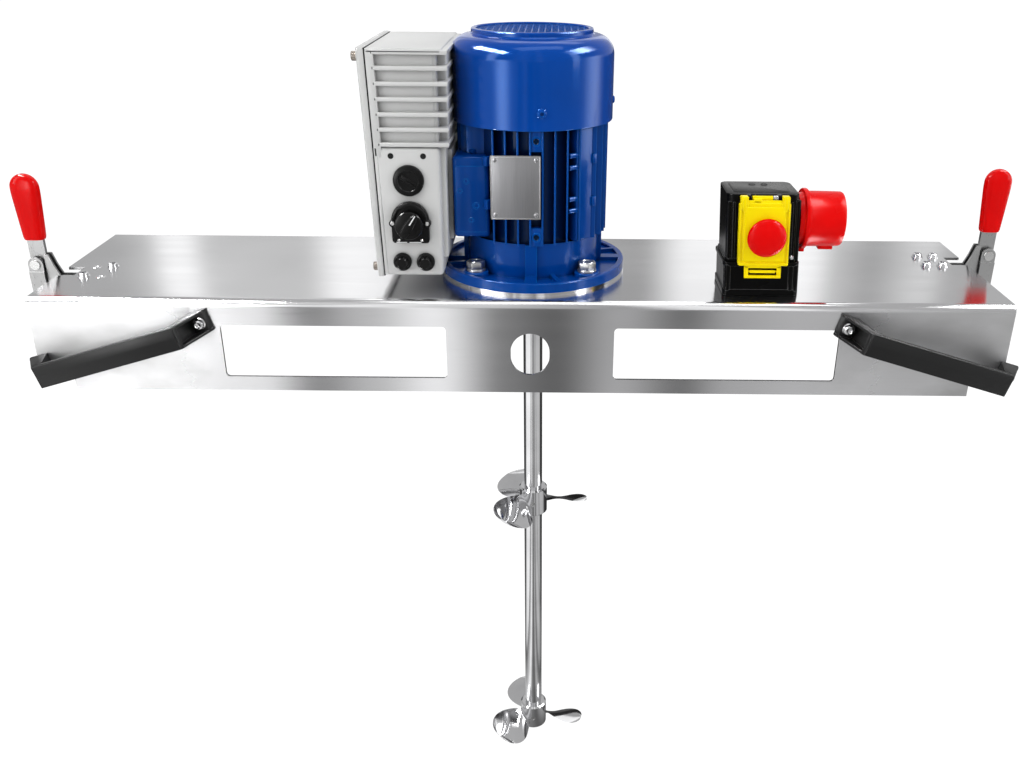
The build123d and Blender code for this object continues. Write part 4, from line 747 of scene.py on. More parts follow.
bolt_low, bolt_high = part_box("flange_bolts")
washer_low, washer_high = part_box("flange_washers")
bolt_spread = washer_high.x - 10 * mm
head_radius = 9.9 * mm
shape = bmesh.new()
bosses = bmesh.new()
for quarter in range(4):
    turn = swung(90 * quarter)
    seat = turn @ shifted(bolt_spread, bolt_spread, 0)
    washer_seat = seat @ shifted(0, 0, washer_low.z)
    turned(shape, in_mm(
        (5.2, 0), (9.8, 0), (10, 0.3), (10, 1.7), (9.7, 2), (5.2, 2), (5.2, 0),
    ), washer_seat, 48)
    # the head: a hexagon with a washer face, chamfered on top
    head = seat @ shifted(0, 0, washer_high.z)
    hexagon = arc_points(0, 0, head_radius, range(8, 368, 60))
    turned(shape, in_mm((0, 0), (8.6, 0), (8.6, 0.7), (0, 0.7)), head, 36)
    head_height = bolt_high.z + 1.5 * mm - washer_high.z - 0.6 * mm
    slab(shape, hexagon, head @ shifted(0, 0, 0.6 * mm), head_height, 0.5 * mm)
    turned(
        shape, in_mm((7.4, 0), (7.0, 0.5), (5.2, 0.5), (4.8, 0.1), (0, 0.1)),
        seat @ shifted(0, 0, bolt_high.z + 1.3 * mm), 36,
    )
    rod(
        shape, seat @ Vector((0, 0, bolt_low.z)),
        seat @ Vector((0, 0, washer_low.z)), 5 * mm, soft=0.8 * mm,
    )
    turned(
        bosses, in_mm((13.6, -5), (13.2, -1.2), (12.4, -0.3), (11.6, -0.05), (0, -0.05)), washer_seat, 40,
    )
bolt_steel = ground_steel(
    "bolt_steel", (0.46, 0.46, 0.46), (0.30, 0.30, 0.30), (1, 1, 4), 0.30, 0.42, 0.000004,
)
finished("bright_bolts", shape, bolt_steel, "bridge", ("flange_bolts", "flange_washers"))
finished("bolt_bosses", bosses, cast_blue, "bridge")

# ---------------------------------------------------------------- nameplate
# A thin aluminium plate riveted to the frame. It is left bare, with a fine brushed surface, a
# rolled border and a rivet in each corner.

plate_metal = ground_steel(
    "plate_metal", (0.30, 0.30, 0.31), (0.20, 0.20, 0.21), (1, 1, 0.03), 0.35, 0.5, 0.00001,
)
shape = bmesh.new()
plate_front = plate_low.y
border = 1.2 * mm
block(
    shape, (plate_low.x, plate_front, plate_low.z),
    (plate_high.x, plate_front + 1 * mm, plate_high.z), 0.3 * mm,
)
for edge_low, edge_high in (
    ((plate_low.x, plate_low.z), (plate_high.x, plate_low.z + border)),
    ((plate_low.x, plate_high.z - border), (plate_high.x, plate_high.z)),
    ((plate_low.x, plate_low.z), (plate_low.x + border, plate_high.z)),
    ((plate_high.x - border, plate_low.z), (plate_high.x, plate_high.z)),
):
    block(
        shape, (edge_low[0], plate_front - 0.3 * mm, edge_low[1]),
        (edge_high[0], plate_front + 0.5 * mm, edge_high[1]), 0.2 * mm,
    )
for corner_x in (plate_low.x + 4.5 * mm, plate_high.x - 4.5 * mm):
    for corner_z in (plate_low.z + 4.5 * mm, plate_high.z - 4.5 * mm):
        turned(
            shape, in_mm((2.3, 0), (2.0, 0.5), (1.2, 0.9), (0, 1.0)),
            facing_front((corner_x, plate_front, corner_z)), 20,
        )
finished("bare_plate", shape, plate_metal, "bridge", ("nameplate",))

# ---------------------------------------------------------------- carrying handles
# Four bridge handles moulded in black glass-filled nylon. A flat bar stands on two raked legs;
# each leg is a deep pocket with a socket screw on its floor, so the skin is only 3 mm thick.


def moulded(name, colour, edge_wear_and_highlight_tone, roughness, grain_scale, grain, gloss=0.15):
    """Moulded plastic with a fine spark-eroded grain, and edges painted lighter as wear and highlight."""
    material, tree, shader, coordinates = new_finish(name)
    clouds = noise(tree, coordinates, 25, 3)
    skin = noise(tree, coordinates, grain_scale, 2)
    dark = tuple(0.88 * value for value in colour)
    tone = mixed(tree, ranged(tree, clouds, 0, 1), colour, dark)
    # the edges take a lighter tone: wear and a painted highlight
    tone = mixed(tree, edge_wear_and_highlight_mask(tree, 0.0006), tone, edge_wear_and_highlight_tone)
    tree.links.new(tone, shader.inputs["Base Color"])
    tree.links.new(ranged(tree, clouds, roughness, roughness + 0.1), shader.inputs["Roughness"])
    shader.inputs["Specular IOR Level"].default_value = gloss
    bumped(tree, shader, skin, grain)
    return material


black_nylon = moulded("black_nylon", (0.014, 0.014, 0.014), (0.09, 0.09, 0.09), 0.30, 1600, 0.00003, 0.2)
finish_with(black_nylon, "cooling_fan")

handle_tilt = math.radians(16.6)
handle_length = 197 * mm
handle_reach = 42 * mm
handle_rake = 22 * mm
handle_half = 12 * mm
handle_skin = 3 * mm
handles = (("front_left", -1, -1), ("front_right", 1, -1), ("rear_left", -1, 1), ("rear_right", 1, 1))


def handle_foot(handle_name, side, face):
    """The middle of a handle's upper end, where its foot meets the sheet."""
    handle_low, handle_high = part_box(f"handle_{handle_name}")
    return Vector((
        (handle_high.x if side < 0 else handle_low.x) + side * handle_half * math.sin(handle_tilt),
        handle_high.y if face < 0 else handle_low.y, handle_high.z - handle_half * math.cos(handle_tilt),
    ))


for handle_name, side, face in handles:
    along = Vector((side * math.cos(handle_tilt), 0, -math.sin(handle_tilt)))
    outward = Vector((0, face, 0))
    upward = Vector((side * math.sin(handle_tilt), 0, math.cos(handle_tilt)))
    handle_place = Matrix((along, outward, upward)).transposed().to_4x4()
    handle_place.translation = handle_foot(handle_name, side, face)
    middle = handle_place @ shifted(0, 0, -handle_half)
    shape = bmesh.new()
    bar = (
        (handle_rake - 1 * mm, handle_reach - 3 * mm), (handle_rake + 1 * mm, handle_reach - 1.2 * mm),
        (handle_length - handle_rake - 1 * mm, handle_reach - 1.2 * mm),
        (handle_length - handle_rake + 1 * mm, handle_reach - 3 * mm),
        (handle_length - handle_rake - 4 * mm, handle_reach - 7.5 * mm),
        (handle_rake + 4 * mm, handle_reach - 7.5 * mm),
    )
    slab(shape, bar, middle, 2 * handle_half, 0.9 * mm, 3)
    # the bar's outer face is creased along its middle
    crease = (
        (handle_reach - 6 * mm, -handle_half + 0.5 * mm),
        (handle_reach - 1.3 * mm, -handle_half + 0.5 * mm), (handle_reach, 1.5 * mm),
        (handle_reach - 1.0 * mm, handle_half - 0.5 * mm),
        (handle_reach - 6 * mm, handle_half - 0.5 * mm),
    )
    bar_line = handle_place @ Matrix((
        (0, 0, 1, handle_rake + 1 * mm), (1, 0, 0, 0), (0, 1, 0, 0), (0, 0, 0, 1),
    ))
    slab(shape, crease, bar_line, handle_length - 2 * handle_rake - 2 * mm, 0.6 * mm)
    for end, way in ((0.0, 1), (handle_length, -1)):
        # the pocket's two side walls, its inner wall, its floor and the lip under the bar
        wall = [
            (end, 0), (end + way * 0.3 * mm, 3 * mm), (end + way * handle_rake, handle_reach - 0.8 * mm),
            (end + way * (handle_rake + 8 * mm), handle_reach - 7.5 * mm), (end + way * 19 * mm, 0),
        ]
        for wall_at in (0, 2 * handle_half - handle_skin):
            slab(shape, wall, middle @ shifted(0, 0, wall_at), handle_skin, 0.7 * mm)
        inner = [
            (end + way * 19 * mm, 0.2 * mm),
            (end + way * (handle_rake + 8 * mm), handle_reach - 7.2 * mm),
            (end + way * (handle_rake + 5 * mm), handle_reach - 7 * mm), (end + way * 16 * mm, 0.2 * mm),
        ]
        slab(shape, inner, middle @ shifted(0, 0, 0.8 * mm), 2 * handle_half - 1.6 * mm)
        floor_line = [
            (end + way * 0.1 * mm, 0.1 * mm), (end + way * 17 * mm, 0.1 * mm),
            (end + way * 17 * mm, 8 * mm), (end + way * 2.6 * mm, 8 * mm),
        ]
        slab(shape, floor_line, middle @ shifted(0, 0, 0.5 * mm), 2 * handle_half - 1 * mm, 0.5 * mm)
        lip = [
            (end + way * (handle_rake - 2.2 * mm), handle_reach - 4.5 * mm),
            (end + way * handle_rake, handle_reach - 0.6 * mm),
            (end + way * (handle_rake + 6 * mm), handle_reach - 5 * mm),
            (end + way * (handle_rake + 5 * mm), handle_reach - 8 * mm),
        ]
        slab(shape, lip, middle @ shifted(0, 0, 0.5 * mm), 2 * handle_half - 1 * mm, 0.5 * mm)
    finished(
        f"{handle_name}_handle", shape, black_nylon, "bridge",
        (f"handle_{handle_name}",),
    )

# the M6 cap screws in the pockets, each with its washer
shape = bmesh.new()
for handle_name, side, face in handles:
    foot = handle_foot(handle_name, side, face)
    for down in (9.5 * mm, handle_length - 9.5 * mm):
        slope = Vector((side * math.cos(handle_tilt) * down, face * 8 * mm, -math.sin(handle_tilt) * down))
        seat = foot + slope
        place = Matrix.Translation(seat) @ swung(90 if face < 0 else -90, "X")
        turned(shape, in_mm(
            (3, 0), (6.1, 0), (6.2, 0.8), (5.2, 1), (5.1, 5.3), (4.5, 5.9), (3.1, 6),
            (2.7, 5.5), (2.6, 2.8), (0, 2.3),
        ), place, 32)
        rod(shape, seat, seat - Vector((0, face * 16 * mm, 0)), 3 * mm, soft=0.5 * mm, sides=20)
finished("pocket_screws", shape, turned_steel, "bridge", ("handle_screws",))

# ---------------------------------------------------------------- inverter case
# A die-cast aluminium box on the motor's side, in light grey powder coat. Cooling fins cross the
# upper front, a flat panel below carries the controls, and a lid closes it on the left.


def powder_coated(name, colour, dark, roughness, grain):
    """Matt powder coat with a fine sandy skin, a painted highlight along its edges and painted shade in
    its hollows.
    """
    material, tree, shader, coordinates = new_finish(name)
    clouds = noise(tree, coordinates, 9, 3)
    sand = noise(tree, coordinates, 1400, 2)
    tone = mixed(tree, ranged(tree, clouds, 0, 1), colour, dark)
    # the edges are painted lighter: a painted highlight
    tone = mixed(tree, edge_wear_and_highlight_mask(tree, 0.0009), tone, tuple(min(1, value * 1.25) for value in colour))
    # hollows and gaps are painted darker: painted shade
    shade = tuple(0.42 * value for value in dark)
    tone = mixed(tree, ranged(tree, shade_in_hollows(tree, 0.014), 1, 0, 0.15, 0.75), tone, shade)
    tree.links.new(tone, shader.inputs["Base Color"])
    tree.links.new(ranged(tree, sand, roughness, roughness + 0.1), shader.inputs["Roughness"])
    bumped(tree, shader, sand, grain)
    return material


grey_coat = powder_coated("grey_coat", (0.60, 0.60, 0.59), (0.54, 0.54, 0.53), 0.40, 0.00004)
case_low, case_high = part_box("inverter_housing")
case_left = case_low.x + 0.3 * mm
lid_low, lid_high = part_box("inverter_cover")


def drafted(shape):
    """Lean the case's sides in towards its foot, as the casting's draft does."""
    for vert in shape.verts:
        down = (case_high.z - vert.co.z) / (case_high.z - case_low.z)
        across = (vert.co.x - case_low.x) / (case_high.x - case_low.x)
        vert.co.x += down * (6.5 * mm - 9 * mm * across)


fin_band = case_low.z + 131.5 * mm
shape = bmesh.new()
block(
    shape, (case_left, case_low.y + 0.6 * mm, case_low.z),
    (-88.5 * mm, case_high.y, fin_band), 4.5 * mm, 4,
)
block(
    shape, (case_left, case_low.y + 5.5 * mm, fin_band - 8 * mm),
    (-92 * mm, case_high.y - 1 * mm, case_high.z - 1.5 * mm), 3 * mm, 3,
)
block(
    shape, (-112 * mm, case_low.y + 17 * mm, fin_band - 4 * mm),
    (-80.5 * mm, case_high.y - 4 * mm, case_high.z - 2 * mm), 2 * mm, 3,
)
# the wall left of the fins, and the roof
block(
    shape, (case_left, case_low.y, fin_band - 10 * mm),
    (case_low.x + 8.5 * mm, case_low.y + 12 * mm, case_high.z - 1 * mm), 1.4 * mm,
)
block(
    shape, (case_left, case_low.y, case_high.z - 5 * mm),
    (-84 * mm, case_high.y, case_high.z), 1.6 * mm, 3,
)
fin_step = 14.4 * mm
for index in range(7):
    fin_z = case_high.z - 3.6 * mm - index * fin_step
    block(
        shape, (case_low.x + 5 * mm, case_low.y, fin_z - 2.2 * mm),
        (-78.5 * mm, case_low.y + 26 * mm, fin_z + 2.0 * mm), 1.0 * mm, 3,
    )
    block(
        shape, (-97.5 * mm, case_low.y + 6.5 * mm, fin_z - 2.1 * mm),
        (-78.5 * mm, case_high.y, fin_z + 2.1 * mm), 0.8 * mm,
    )
block(
    shape, (-98 * mm, case_low.y + 6.5 * mm, fin_band - 6 * mm),
    (-89.5 * mm, case_low.y + 30 * mm, case_high.z - 2 * mm), 2.5 * mm, 4,
)
# the panel's raised edge on the left, and the adapter's flange behind its right edge
block(
    shape, (case_left, case_low.y, case_low.z + 1 * mm),
    (case_low.x + 4.5 * mm, case_low.y + 8 * mm, fin_band), 1.2 * mm,
)
block(
    shape, (-94 * mm, case_low.y + 12 * mm, case_low.z + 17 * mm),
    (-83.5 * mm, case_high.y - 12 * mm, fin_band + 2 * mm), 1.2 * mm,
)
block(
    shape, (-90 * mm, case_low.y + 34 * mm, case_low.z + 30 * mm),
    (case_high.x, case_high.y - 34 * mm, fin_band - 8 * mm), 1.2 * mm,
)
drafted(shape)
finished("inverter_case", shape, grey_coat, "bridge", ("inverter_housing",))

shape = bmesh.new()
block(
    shape, (lid_low.x, lid_low.y, lid_low.z),
    (lid_high.x - 0.3 * mm, lid_high.y, lid_high.z), 2.2 * mm, 3,
)
block(
    shape, (lid_low.x - 0.2 * mm, lid_low.y + 12 * mm, lid_low.z + 14 * mm),
    (lid_low.x + 2 * mm, lid_high.y - 12 * mm, lid_high.z - 14 * mm), 0.8 * mm,
)
drafted(shape)
finished("inverter_lid", shape, grey_coat, "bridge", ("inverter_cover",))

seal_rubber = moulded("seal_rubber", (0.01, 0.01, 0.01), (0.03, 0.03, 0.03), 0.5, 900, 0.00002)
shape = bmesh.new()
block(
    shape, (lid_high.x - 0.9 * mm, lid_low.y + 1.0 * mm, lid_low.z + 1.0 * mm),
    (lid_high.x + 0.5 * mm, lid_high.y - 1.0 * mm, lid_high.z - 1.0 * mm), 0.3 * mm,
)
drafted(shape)
finished("inverter_seal", shape, seal_rubber, "bridge")

# the two light-guide holes above the controls, seen as small dark wells
shape = bmesh.new()
for well_x in (-139 * mm, -107 * mm):
    well_at = facing_front((well_x + 1.5 * mm, case_low.y + 0.5 * mm, case_low.z + 123 * mm))
    turned(shape, in_mm((2.9, 0.1), (2.5, 0.25), (2.3, 0.1), (0, 0.02)), well_at, 24)
finished("light_wells", shape, seal_rubber, "bridge")

# lid bolts: nickel-plated socket screws that stand clear of the lid
bronze_nickel = polished_steel(
    "bronze_nickel", (0.36, 0.32, 0.28), (0.24, 0.21, 0.19), 300, 0.22, 0.34, 0.00001,
)
stud_low, stud_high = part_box("inverter_cover_bolts")
shape = bmesh.new()
for stud_y in (stud_low.y + 4.5 * mm, stud_high.y - 4.5 * mm):
    for stud_z in (stud_low.z + 4.5 * mm, stud_high.z - 4.5 * mm):
        stud_place = shifted(stud_low.x, stud_y, stud_z) @ swung(-90, "Y")
        turned(shape, in_mm(
            (0, -1.6), (2.1, -1.6), (2.3, -0.1), (4.0, 0), (4.5, -0.5), (4.5, -6.5), (0, -6.5),
        ), stud_place, 32)
drafted(shape)
finished("lid_bolts", shape, bronze_nickel, "bridge", ("inverter_cover_bolts",))

# ---------------------------------------------------------------- inverter controls
# Black nylon fittings on the panel: a sealing cap with a coin slot, the speed selector on a
# D-shaped base held by small screws, and a pair of blanking plugs with stepped crowns.

control_nylon = moulded(
    "control_nylon", (0.006, 0.006, 0.006), (0.05, 0.05, 0.05), 0.22, 1600, 0.00002, 0.12,
)
cap_low, cap_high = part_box("sealing_cap")


def panel_place(low, high):
    """A place on the panel in front of a fitting's middle."""
    return facing_front(((low.x + high.x) / 2, low.y, (low.z + high.z) / 2))


shape = bmesh.new()
cap_face = panel_place(cap_low, cap_high)
turned(shape, in_mm(
    (15.4, -4.6), (15.5, -1.6), (14.9, -0.5), (13.8, 0), (10.6, 0.2), (10.0, -0.4), (9.4, -0.5), (0, 0.1),
), cap_face, 64)
slot_turn = cap_face @ swung(-34)
for half in (-1, 1):
    block(
        shape, (-8.6 * mm, half * 1.5 * mm - 0.6 * mm, -0.6 * mm),
        (8.6 * mm, half * 1.5 * mm + 0.6 * mm, 1.5 * mm), 0.5 * mm, 2, slot_turn,
    )
block(shape, (-7.6 * mm, -1.2 * mm, -0.8 * mm), (7.6 * mm, 1.2 * mm, 0.3 * mm), 0.2 * mm, 2, slot_turn)
finished("coin_cap", shape, control_nylon, "bridge", ("sealing_cap",))

base_low, base_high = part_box("selector_base")
shape = bmesh.new()
base_face = panel_place(base_low, base_high)
ear_reach = 17.4 * mm
base_line = arc_points(0, 2.5 * mm, 19 * mm, range(0, 181, 12))
base_line += in_mm((-18.8, -18.6), (-17.0, -20.6), (17.0, -20.6), (18.8, -18.6))
slab(shape, base_line, base_face @ shifted(0, 0, -9 * mm), 6.5 * mm, 1.2 * mm, 3)
ring_line = arc_points(0, 2.5 * mm, 17.8 * mm, range(0, 181, 12))
ring_line += arc_points(0, 2.5 * mm, 15.2 * mm, range(180, -1, -12))
slab(shape, ring_line, base_face @ shifted(0, 0, -3 * mm), 4 * mm, 0.5 * mm)
for ear in (-1, 1):
    rod(
        shape, base_face @ Vector((ear * ear_reach, 0, -8 * mm)),
        base_face @ Vector((ear * ear_reach, 0, -0.8 * mm)), 3.6 * mm, soft=0.6 * mm,
    )
finished("selector_plate", shape, control_nylon, "bridge", ("selector_base",))

shape = bmesh.new()
for ear in (-1, 1):
    turned(
        shape, in_mm((2.2, 0), (2.0, 0.5), (1.1, 0.6), (1.0, 0.1), (0, 0.1)),
        base_face @ shifted(ear * ear_reach, 0.5 * mm, -0.8 * mm), 20,
    )
for foot in (-12 * mm, 11 * mm):
    turned(
        shape, in_mm((1.6, 0), (1.3, 0.4), (0, 0.5)),
        base_face @ shifted(foot, -17.4 * mm, -2.5 * mm), 16,
    )
finished("selector_screws", shape, zinc_steel, "bridge")

knob_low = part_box("speed_knob")[0]
shape = bmesh.new()
knob_face = panel_place(base_low, base_high) @ shifted(0, 0, base_low.y - knob_low.y)
turned(shape, in_mm((14.2, -9.5), (14.2, -5.4), (13.4, -4.2), (11.8, -3.7), (0, -3.3)), knob_face, 64)
grip_turn = knob_face @ swung(57)
grip_line = in_mm(
    (-13.2, -1.8), (-11, -4.2), (0, -4.9), (10, -3.4), (14, -1.2), (14, 1.2), (10, 3.4), (0, 4.9),
    (-11, 4.2), (-13.2, 1.8),
)
slab(shape, grip_line, grip_turn @ shifted(0, 0, -5 * mm), 4.8 * mm, 1.3 * mm, 3)
finished("selector_knob", shape, control_nylon, "speed_selector", ("speed_knob",))

white_mark = moulded("white_mark", (0.85, 0.85, 0.84), (0.9, 0.9, 0.9), 0.3, 900, 0.00001)
shape = bmesh.new()
block(shape, (2.4 * mm, -0.55 * mm, -0.6 * mm), (13.4 * mm, 0.55 * mm, 0.05 * mm), 0.1 * mm, 1, grip_turn)
finished("knob_pointer", shape, white_mark, "speed_selector")
shape = bmesh.new()
for mark_low, mark_high in ((-14.5 * mm, -4.0 * mm), (-1.5 * mm, 10.5 * mm)):
    block(
        shape, (mark_low, -20.0 * mm, -3.2 * mm),
        (mark_high, -19.1 * mm, -2.3 * mm), 0.1 * mm, 1, base_face,
    )
finished("selector_marks", shape, white_mark, "bridge")

plug_low, plug_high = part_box("blanking_plugs")
shape = bmesh.new()
for plug_x in (plug_low.x + 9.4 * mm, plug_high.x - 9.4 * mm):
    plug_face = facing_front((plug_x + 1.6 * mm, plug_low.y, (plug_low.z + plug_high.z) / 2))
    turned(shape, in_mm(
        (9.2, -5.6), (9.3, -1.8), (8.7, -0.6), (7.4, 0), (6.6, -0.4), (6.2, -0.4),
        (5.4, 2.0), (4.8, 2.6), (0, 2.7),
    ), plug_face, 48)
    for turn_at in range(0, 360, 60):
        block(
            shape, (4.6 * mm, -1.3 * mm, -0.6 * mm), (6.6 * mm, 1.3 * mm, 2.0 * mm), 0.4 * mm, 2,
            plug_face @ swung(turn_at),
        )
finished("panel_plugs", shape, control_nylon, "bridge", ("blanking_plugs",))

# ---------------------------------------------------------------- switch box
# The mains switch stands in a two-part black moulded box screwed to the plate: a deep base with a
# wider foot, and a cover with rounded corners, ribs beside the flap and two light holes on top.

# its edges are painted lighter grey as a highlight
switch_black = moulded("switch_black", (0.003, 0.003, 0.003), (0.16, 0.16, 0.16), 0.24, 900, 0.00002, 0.05)
cover_low, cover_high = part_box("switch_cover")
foot_low, foot_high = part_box("switch_base")
cover_front = -90 * mm
hinge_y = -93.2 * mm
hinge_z = 180 * mm


def rounded_outline(low_x, low_y, high_x, high_y, radius):
    """The corner points of a rectangle with round corners, seen from above."""
    points = []
    for corner_x, corner_y, start in (
        (high_x - radius, high_y - radius, 0), (low_x + radius, high_y - radius, 90),
        (low_x + radius, low_y + radius, 180), (high_x - radius, low_y + radius, 270),
    ):
        turns = [start + 90 * step / 6 for step in range(7)]
        points += arc_points(corner_x, corner_y, radius, turns)
    return points


def leaned(shape):
    """Lean the box 5.3 mm to the left over its height of 105 mm, as it stands on the plate."""
    for vert in shape.verts:
        vert.co.x -= 5.3 * mm * (vert.co.z - foot_low.z) / (105 * mm)


shape = bmesh.new()
cover_line = rounded_outline(
    cover_low.x + 1 * mm, cover_front + 1 * mm, cover_high.x - 0.5 * mm, cover_high.y, 8 * mm,
)
slab(shape, cover_line, shifted(0, 0, cover_low.z), cover_high.z - 0.3 * mm - cover_low.z, 2.6 * mm, 4)
# ribs and rails beside the flap, and the seam's lip round the foot of the cover
for rib_low, rib_high, rib_out in (
    (201.6, 204.2, 1.2), (206.4, 208.6, 1.6), (264.4, 266.2, 1.6), (269.0, 271.2, 1.2),
):
    block(
        shape, (rib_low * mm, cover_front + 2 * mm - rib_out * mm, cover_low.z + 3 * mm),
        (rib_high * mm, cover_front + 6 * mm, cover_high.z - 8 * mm), 0.7 * mm, 3,
    )
lip_line = rounded_outline(cover_low.x, cover_front, cover_high.x, cover_high.y, 7 * mm)
slab(shape, lip_line, shifted(0, 0, cover_low.z), 3 * mm, 0.8 * mm, 3)
# a flat raised field on the roof, and a round-ended lug at each side of the hinge
roof_line = rounded_outline(
    cover_low.x + 8 * mm, cover_front + 9 * mm, cover_high.x - 8 * mm, cover_high.y - 7 * mm, 5 * mm,
)
slab(shape, roof_line, shifted(0, 0, cover_high.z - 2 * mm), 2 * mm, 0.6 * mm, 3)
for lug_low, lug_high in ((219.5, 223.2), (249.8, 253.5)):
    rod(
        shape, (lug_low * mm, hinge_y, hinge_z), (lug_high * mm, hinge_y, hinge_z), 3.0 * mm,
        soft=0.5 * mm, sides=24,
    )
    block(
        shape, (lug_low * mm, hinge_y, 177.2 * mm),
        (lug_high * mm, cover_front + 3 * mm, 183 * mm), 0.5 * mm,
    )
# posts on the right wall, in front of and behind the inlet
for post_y in (-87 * mm, -38 * mm):
    rod(
        shape, (271.5 * mm, post_y, cover_low.z), (271.5 * mm, post_y, cover_high.z - 6 * mm),
        2.6 * mm, soft=1 * mm, sides=24,
    )
leaned(shape)
finished("switch_hood", shape, switch_black, "bridge", ("switch_cover",))

shape = bmesh.new()
foot_line = rounded_outline(
    foot_low.x + 1.2 * mm, foot_low.y + 1.2 * mm, foot_high.x - 1.2 * mm, foot_high.y - 1.2 * mm, 6 * mm,
)
slab(shape, foot_line, shifted(0, 0, foot_low.z), foot_high.z - 0.4 * mm - foot_low.z, 1.4 * mm, 3)
skirt_line = rounded_outline(foot_low.x, foot_low.y, foot_high.x, foot_high.y, 6.5 * mm)
slab(shape, skirt_line, shifted(0, 0, foot_low.z), 6.5 * mm, 0.9 * mm, 3)
slab(shape, skirt_line, shifted(0, 0, foot_high.z - 4.5 * mm), 4.2 * mm, 1.1 * mm, 3)
for post_x in (foot_low.x + 5 * mm, foot_high.x - 9 * mm, foot_high.x - 4 * mm):
    rod(
        shape, (post_x, foot_low.y + 3.2 * mm, foot_low.z + 5 * mm),
        (post_x, foot_low.y + 3.2 * mm, foot_high.z - 3 * mm), 3.2 * mm, soft=0.8 * mm, sides=24,
    )
leaned(shape)
finished("switch_foot", shape, switch_black, "bridge", ("switch_base",))

shape = bmesh.new()
for hole_x in (231.5 * mm, 244.0 * mm):
    turned(
        shape, in_mm((3.6, 0), (3.3, 0.25), (2.7, 0.2), (2.2, -0.6), (0, -0.8)),
        shifted(hole_x, -47 * mm, cover_high.z - 0.05 * mm), 32,
    )
leaned(shape)
finished("roof_wells", shape, seal_rubber, "bridge")

shape = bmesh.new()
screw_face = facing_front((266.8 * mm, cover_front + 0.3 * mm, 118.5 * mm))
turned(shape, in_mm((2.3, -1), (2.3, 0.6), (1.8, 1.3), (0.9, 1.5), (0.7, 0.9), (0, 0.9)), screw_face, 24)
leaned(shape)
finished("cover_screw", shape, turned_steel, "bridge")

# ---------------------------------------------------------------- emergency flap
# A yellow moulded flap hangs from two knuckles over the on and off buttons. Its face stands
# proud of a thin frame, and the latch tab below it has a window with a cross bar.

yellow_plastic = moulded("yellow_plastic", (1.0, 0.78, 0.0), (1.0, 0.9, 0.04), 0.22, 700, 0.00002, 0.08)
red_plastic = moulded("red_plastic", (0.78, 0.0, 0.0), (0.95, 0.02, 0.02), 0.2, 700, 0.00002, 0.10)
green_plastic = moulded("green_plastic", (0.01, 0.22, 0.05), (0.05, 0.35, 0.1), 0.25, 700, 0.00002)
flap_low, flap_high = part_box("switch_flap")
flap_mid = (flap_low.x + flap_high.x) / 2
shape = bmesh.new()
# the frame: a flared plate with a flange down each side
frame_line = (
    (flap_low.x, 113 * mm), (flap_high.x, 113 * mm), (flap_high.x - 1.2 * mm, 174 * mm),
    (flap_high.x - 4 * mm, 179 * mm), (flap_low.x + 4 * mm, 179 * mm), (flap_low.x + 1.2 * mm, 174 * mm),
)
flap_place = facing_front((0, -96.2 * mm, 0))
slab(shape, frame_line, flap_place, 1.8 * mm, 0.6 * mm, 2)
for hand in (-1, 1):
    wall = flap_mid + hand * 24.3 * mm
    block(shape, (wall - 1.1 * mm, -98 * mm, 114 * mm), (wall + 1.1 * mm, -92 * mm, 175 * mm), 0.5 * mm)
    block(shape, (wall - 1.0 * mm, -99.4 * mm, 114 * mm), (wall + 0.8 * mm, -97 * mm, 176 * mm), 0.5 * mm)
    knuckle = flap_mid + hand * 20.5 * mm
    block(
        shape, (knuckle - 3.8 * mm, -99.4 * mm, 170 * mm),
        (knuckle + 3.8 * mm, -91.6 * mm, 183 * mm), 1.1 * mm, 3,
    )
    block(
        shape, (knuckle - 1.6 * mm, -99.9 * mm, 168 * mm),
        (knuckle + 1.8 * mm, -97 * mm, 182 * mm), 0.6 * mm,
    )
# the raised face, its lower ledge and the shelf under it
block(
    shape, (flap_low.x + 5 * mm, -99.7 * mm, 117 * mm),
    (flap_high.x - 5 * mm, -97 * mm, 172.5 * mm), 0.9 * mm, 3,
)
block(
    shape, (flap_low.x + 1 * mm, -99.9 * mm, 112.6 * mm),
    (flap_high.x - 1 * mm, -94 * mm, 115.4 * mm), 0.7 * mm,
)
block(
    shape, (flap_low.x + 8 * mm, -98.6 * mm, 172 * mm),
    (flap_high.x - 8 * mm, -96 * mm, 176.4 * mm), 0.6 * mm,
)
# the latch tab: four sides of a window with a bar across it
tab_low = flap_mid - 18.6 * mm
tab_high = flap_mid + 18.6 * mm
tab_front = -98.2 * mm
tab_back = -94.5 * mm
block(shape, (tab_low, -98.4 * mm, 99 * mm), (tab_high, tab_back, 101.8 * mm), 0.8 * mm, 3)
block(shape, (tab_low, tab_front, 109.6 * mm), (tab_high, tab_back, 113.4 * mm), 0.7 * mm, 3)
block(shape, (tab_low, tab_front, 100 * mm), (tab_low + 4.2 * mm, tab_back, 112 * mm), 0.7 * mm, 3)
block(shape, (tab_high - 4.2 * mm, tab_front, 100 * mm), (tab_high, tab_back, 112 * mm), 0.7 * mm, 3)
block(
    shape, (tab_low + 5.6 * mm, -97.6 * mm, 104.2 * mm),
    (tab_high - 5.6 * mm, -95.4 * mm, 107.2 * mm), 0.6 * mm,
)
block(shape, (tab_low + 2 * mm, -96 * mm, 104.8 * mm), (tab_high - 2 * mm, -95 * mm, 106.6 * mm), 0.3 * mm)
# the hinge barrel between the lugs
rod(
    shape, (224.2 * mm, hinge_y, hinge_z), (244.4 * mm, hinge_y, hinge_z), 2.6 * mm,
    soft=0.5 * mm, sides=24,
)
block(shape, (225 * mm, -98 * mm, 175.5 * mm), (233 * mm, -93 * mm, 180.5 * mm), 0.6 * mm)
leaned(shape)
finished("flap_shell", shape, yellow_plastic, "flap", ("switch_flap",))

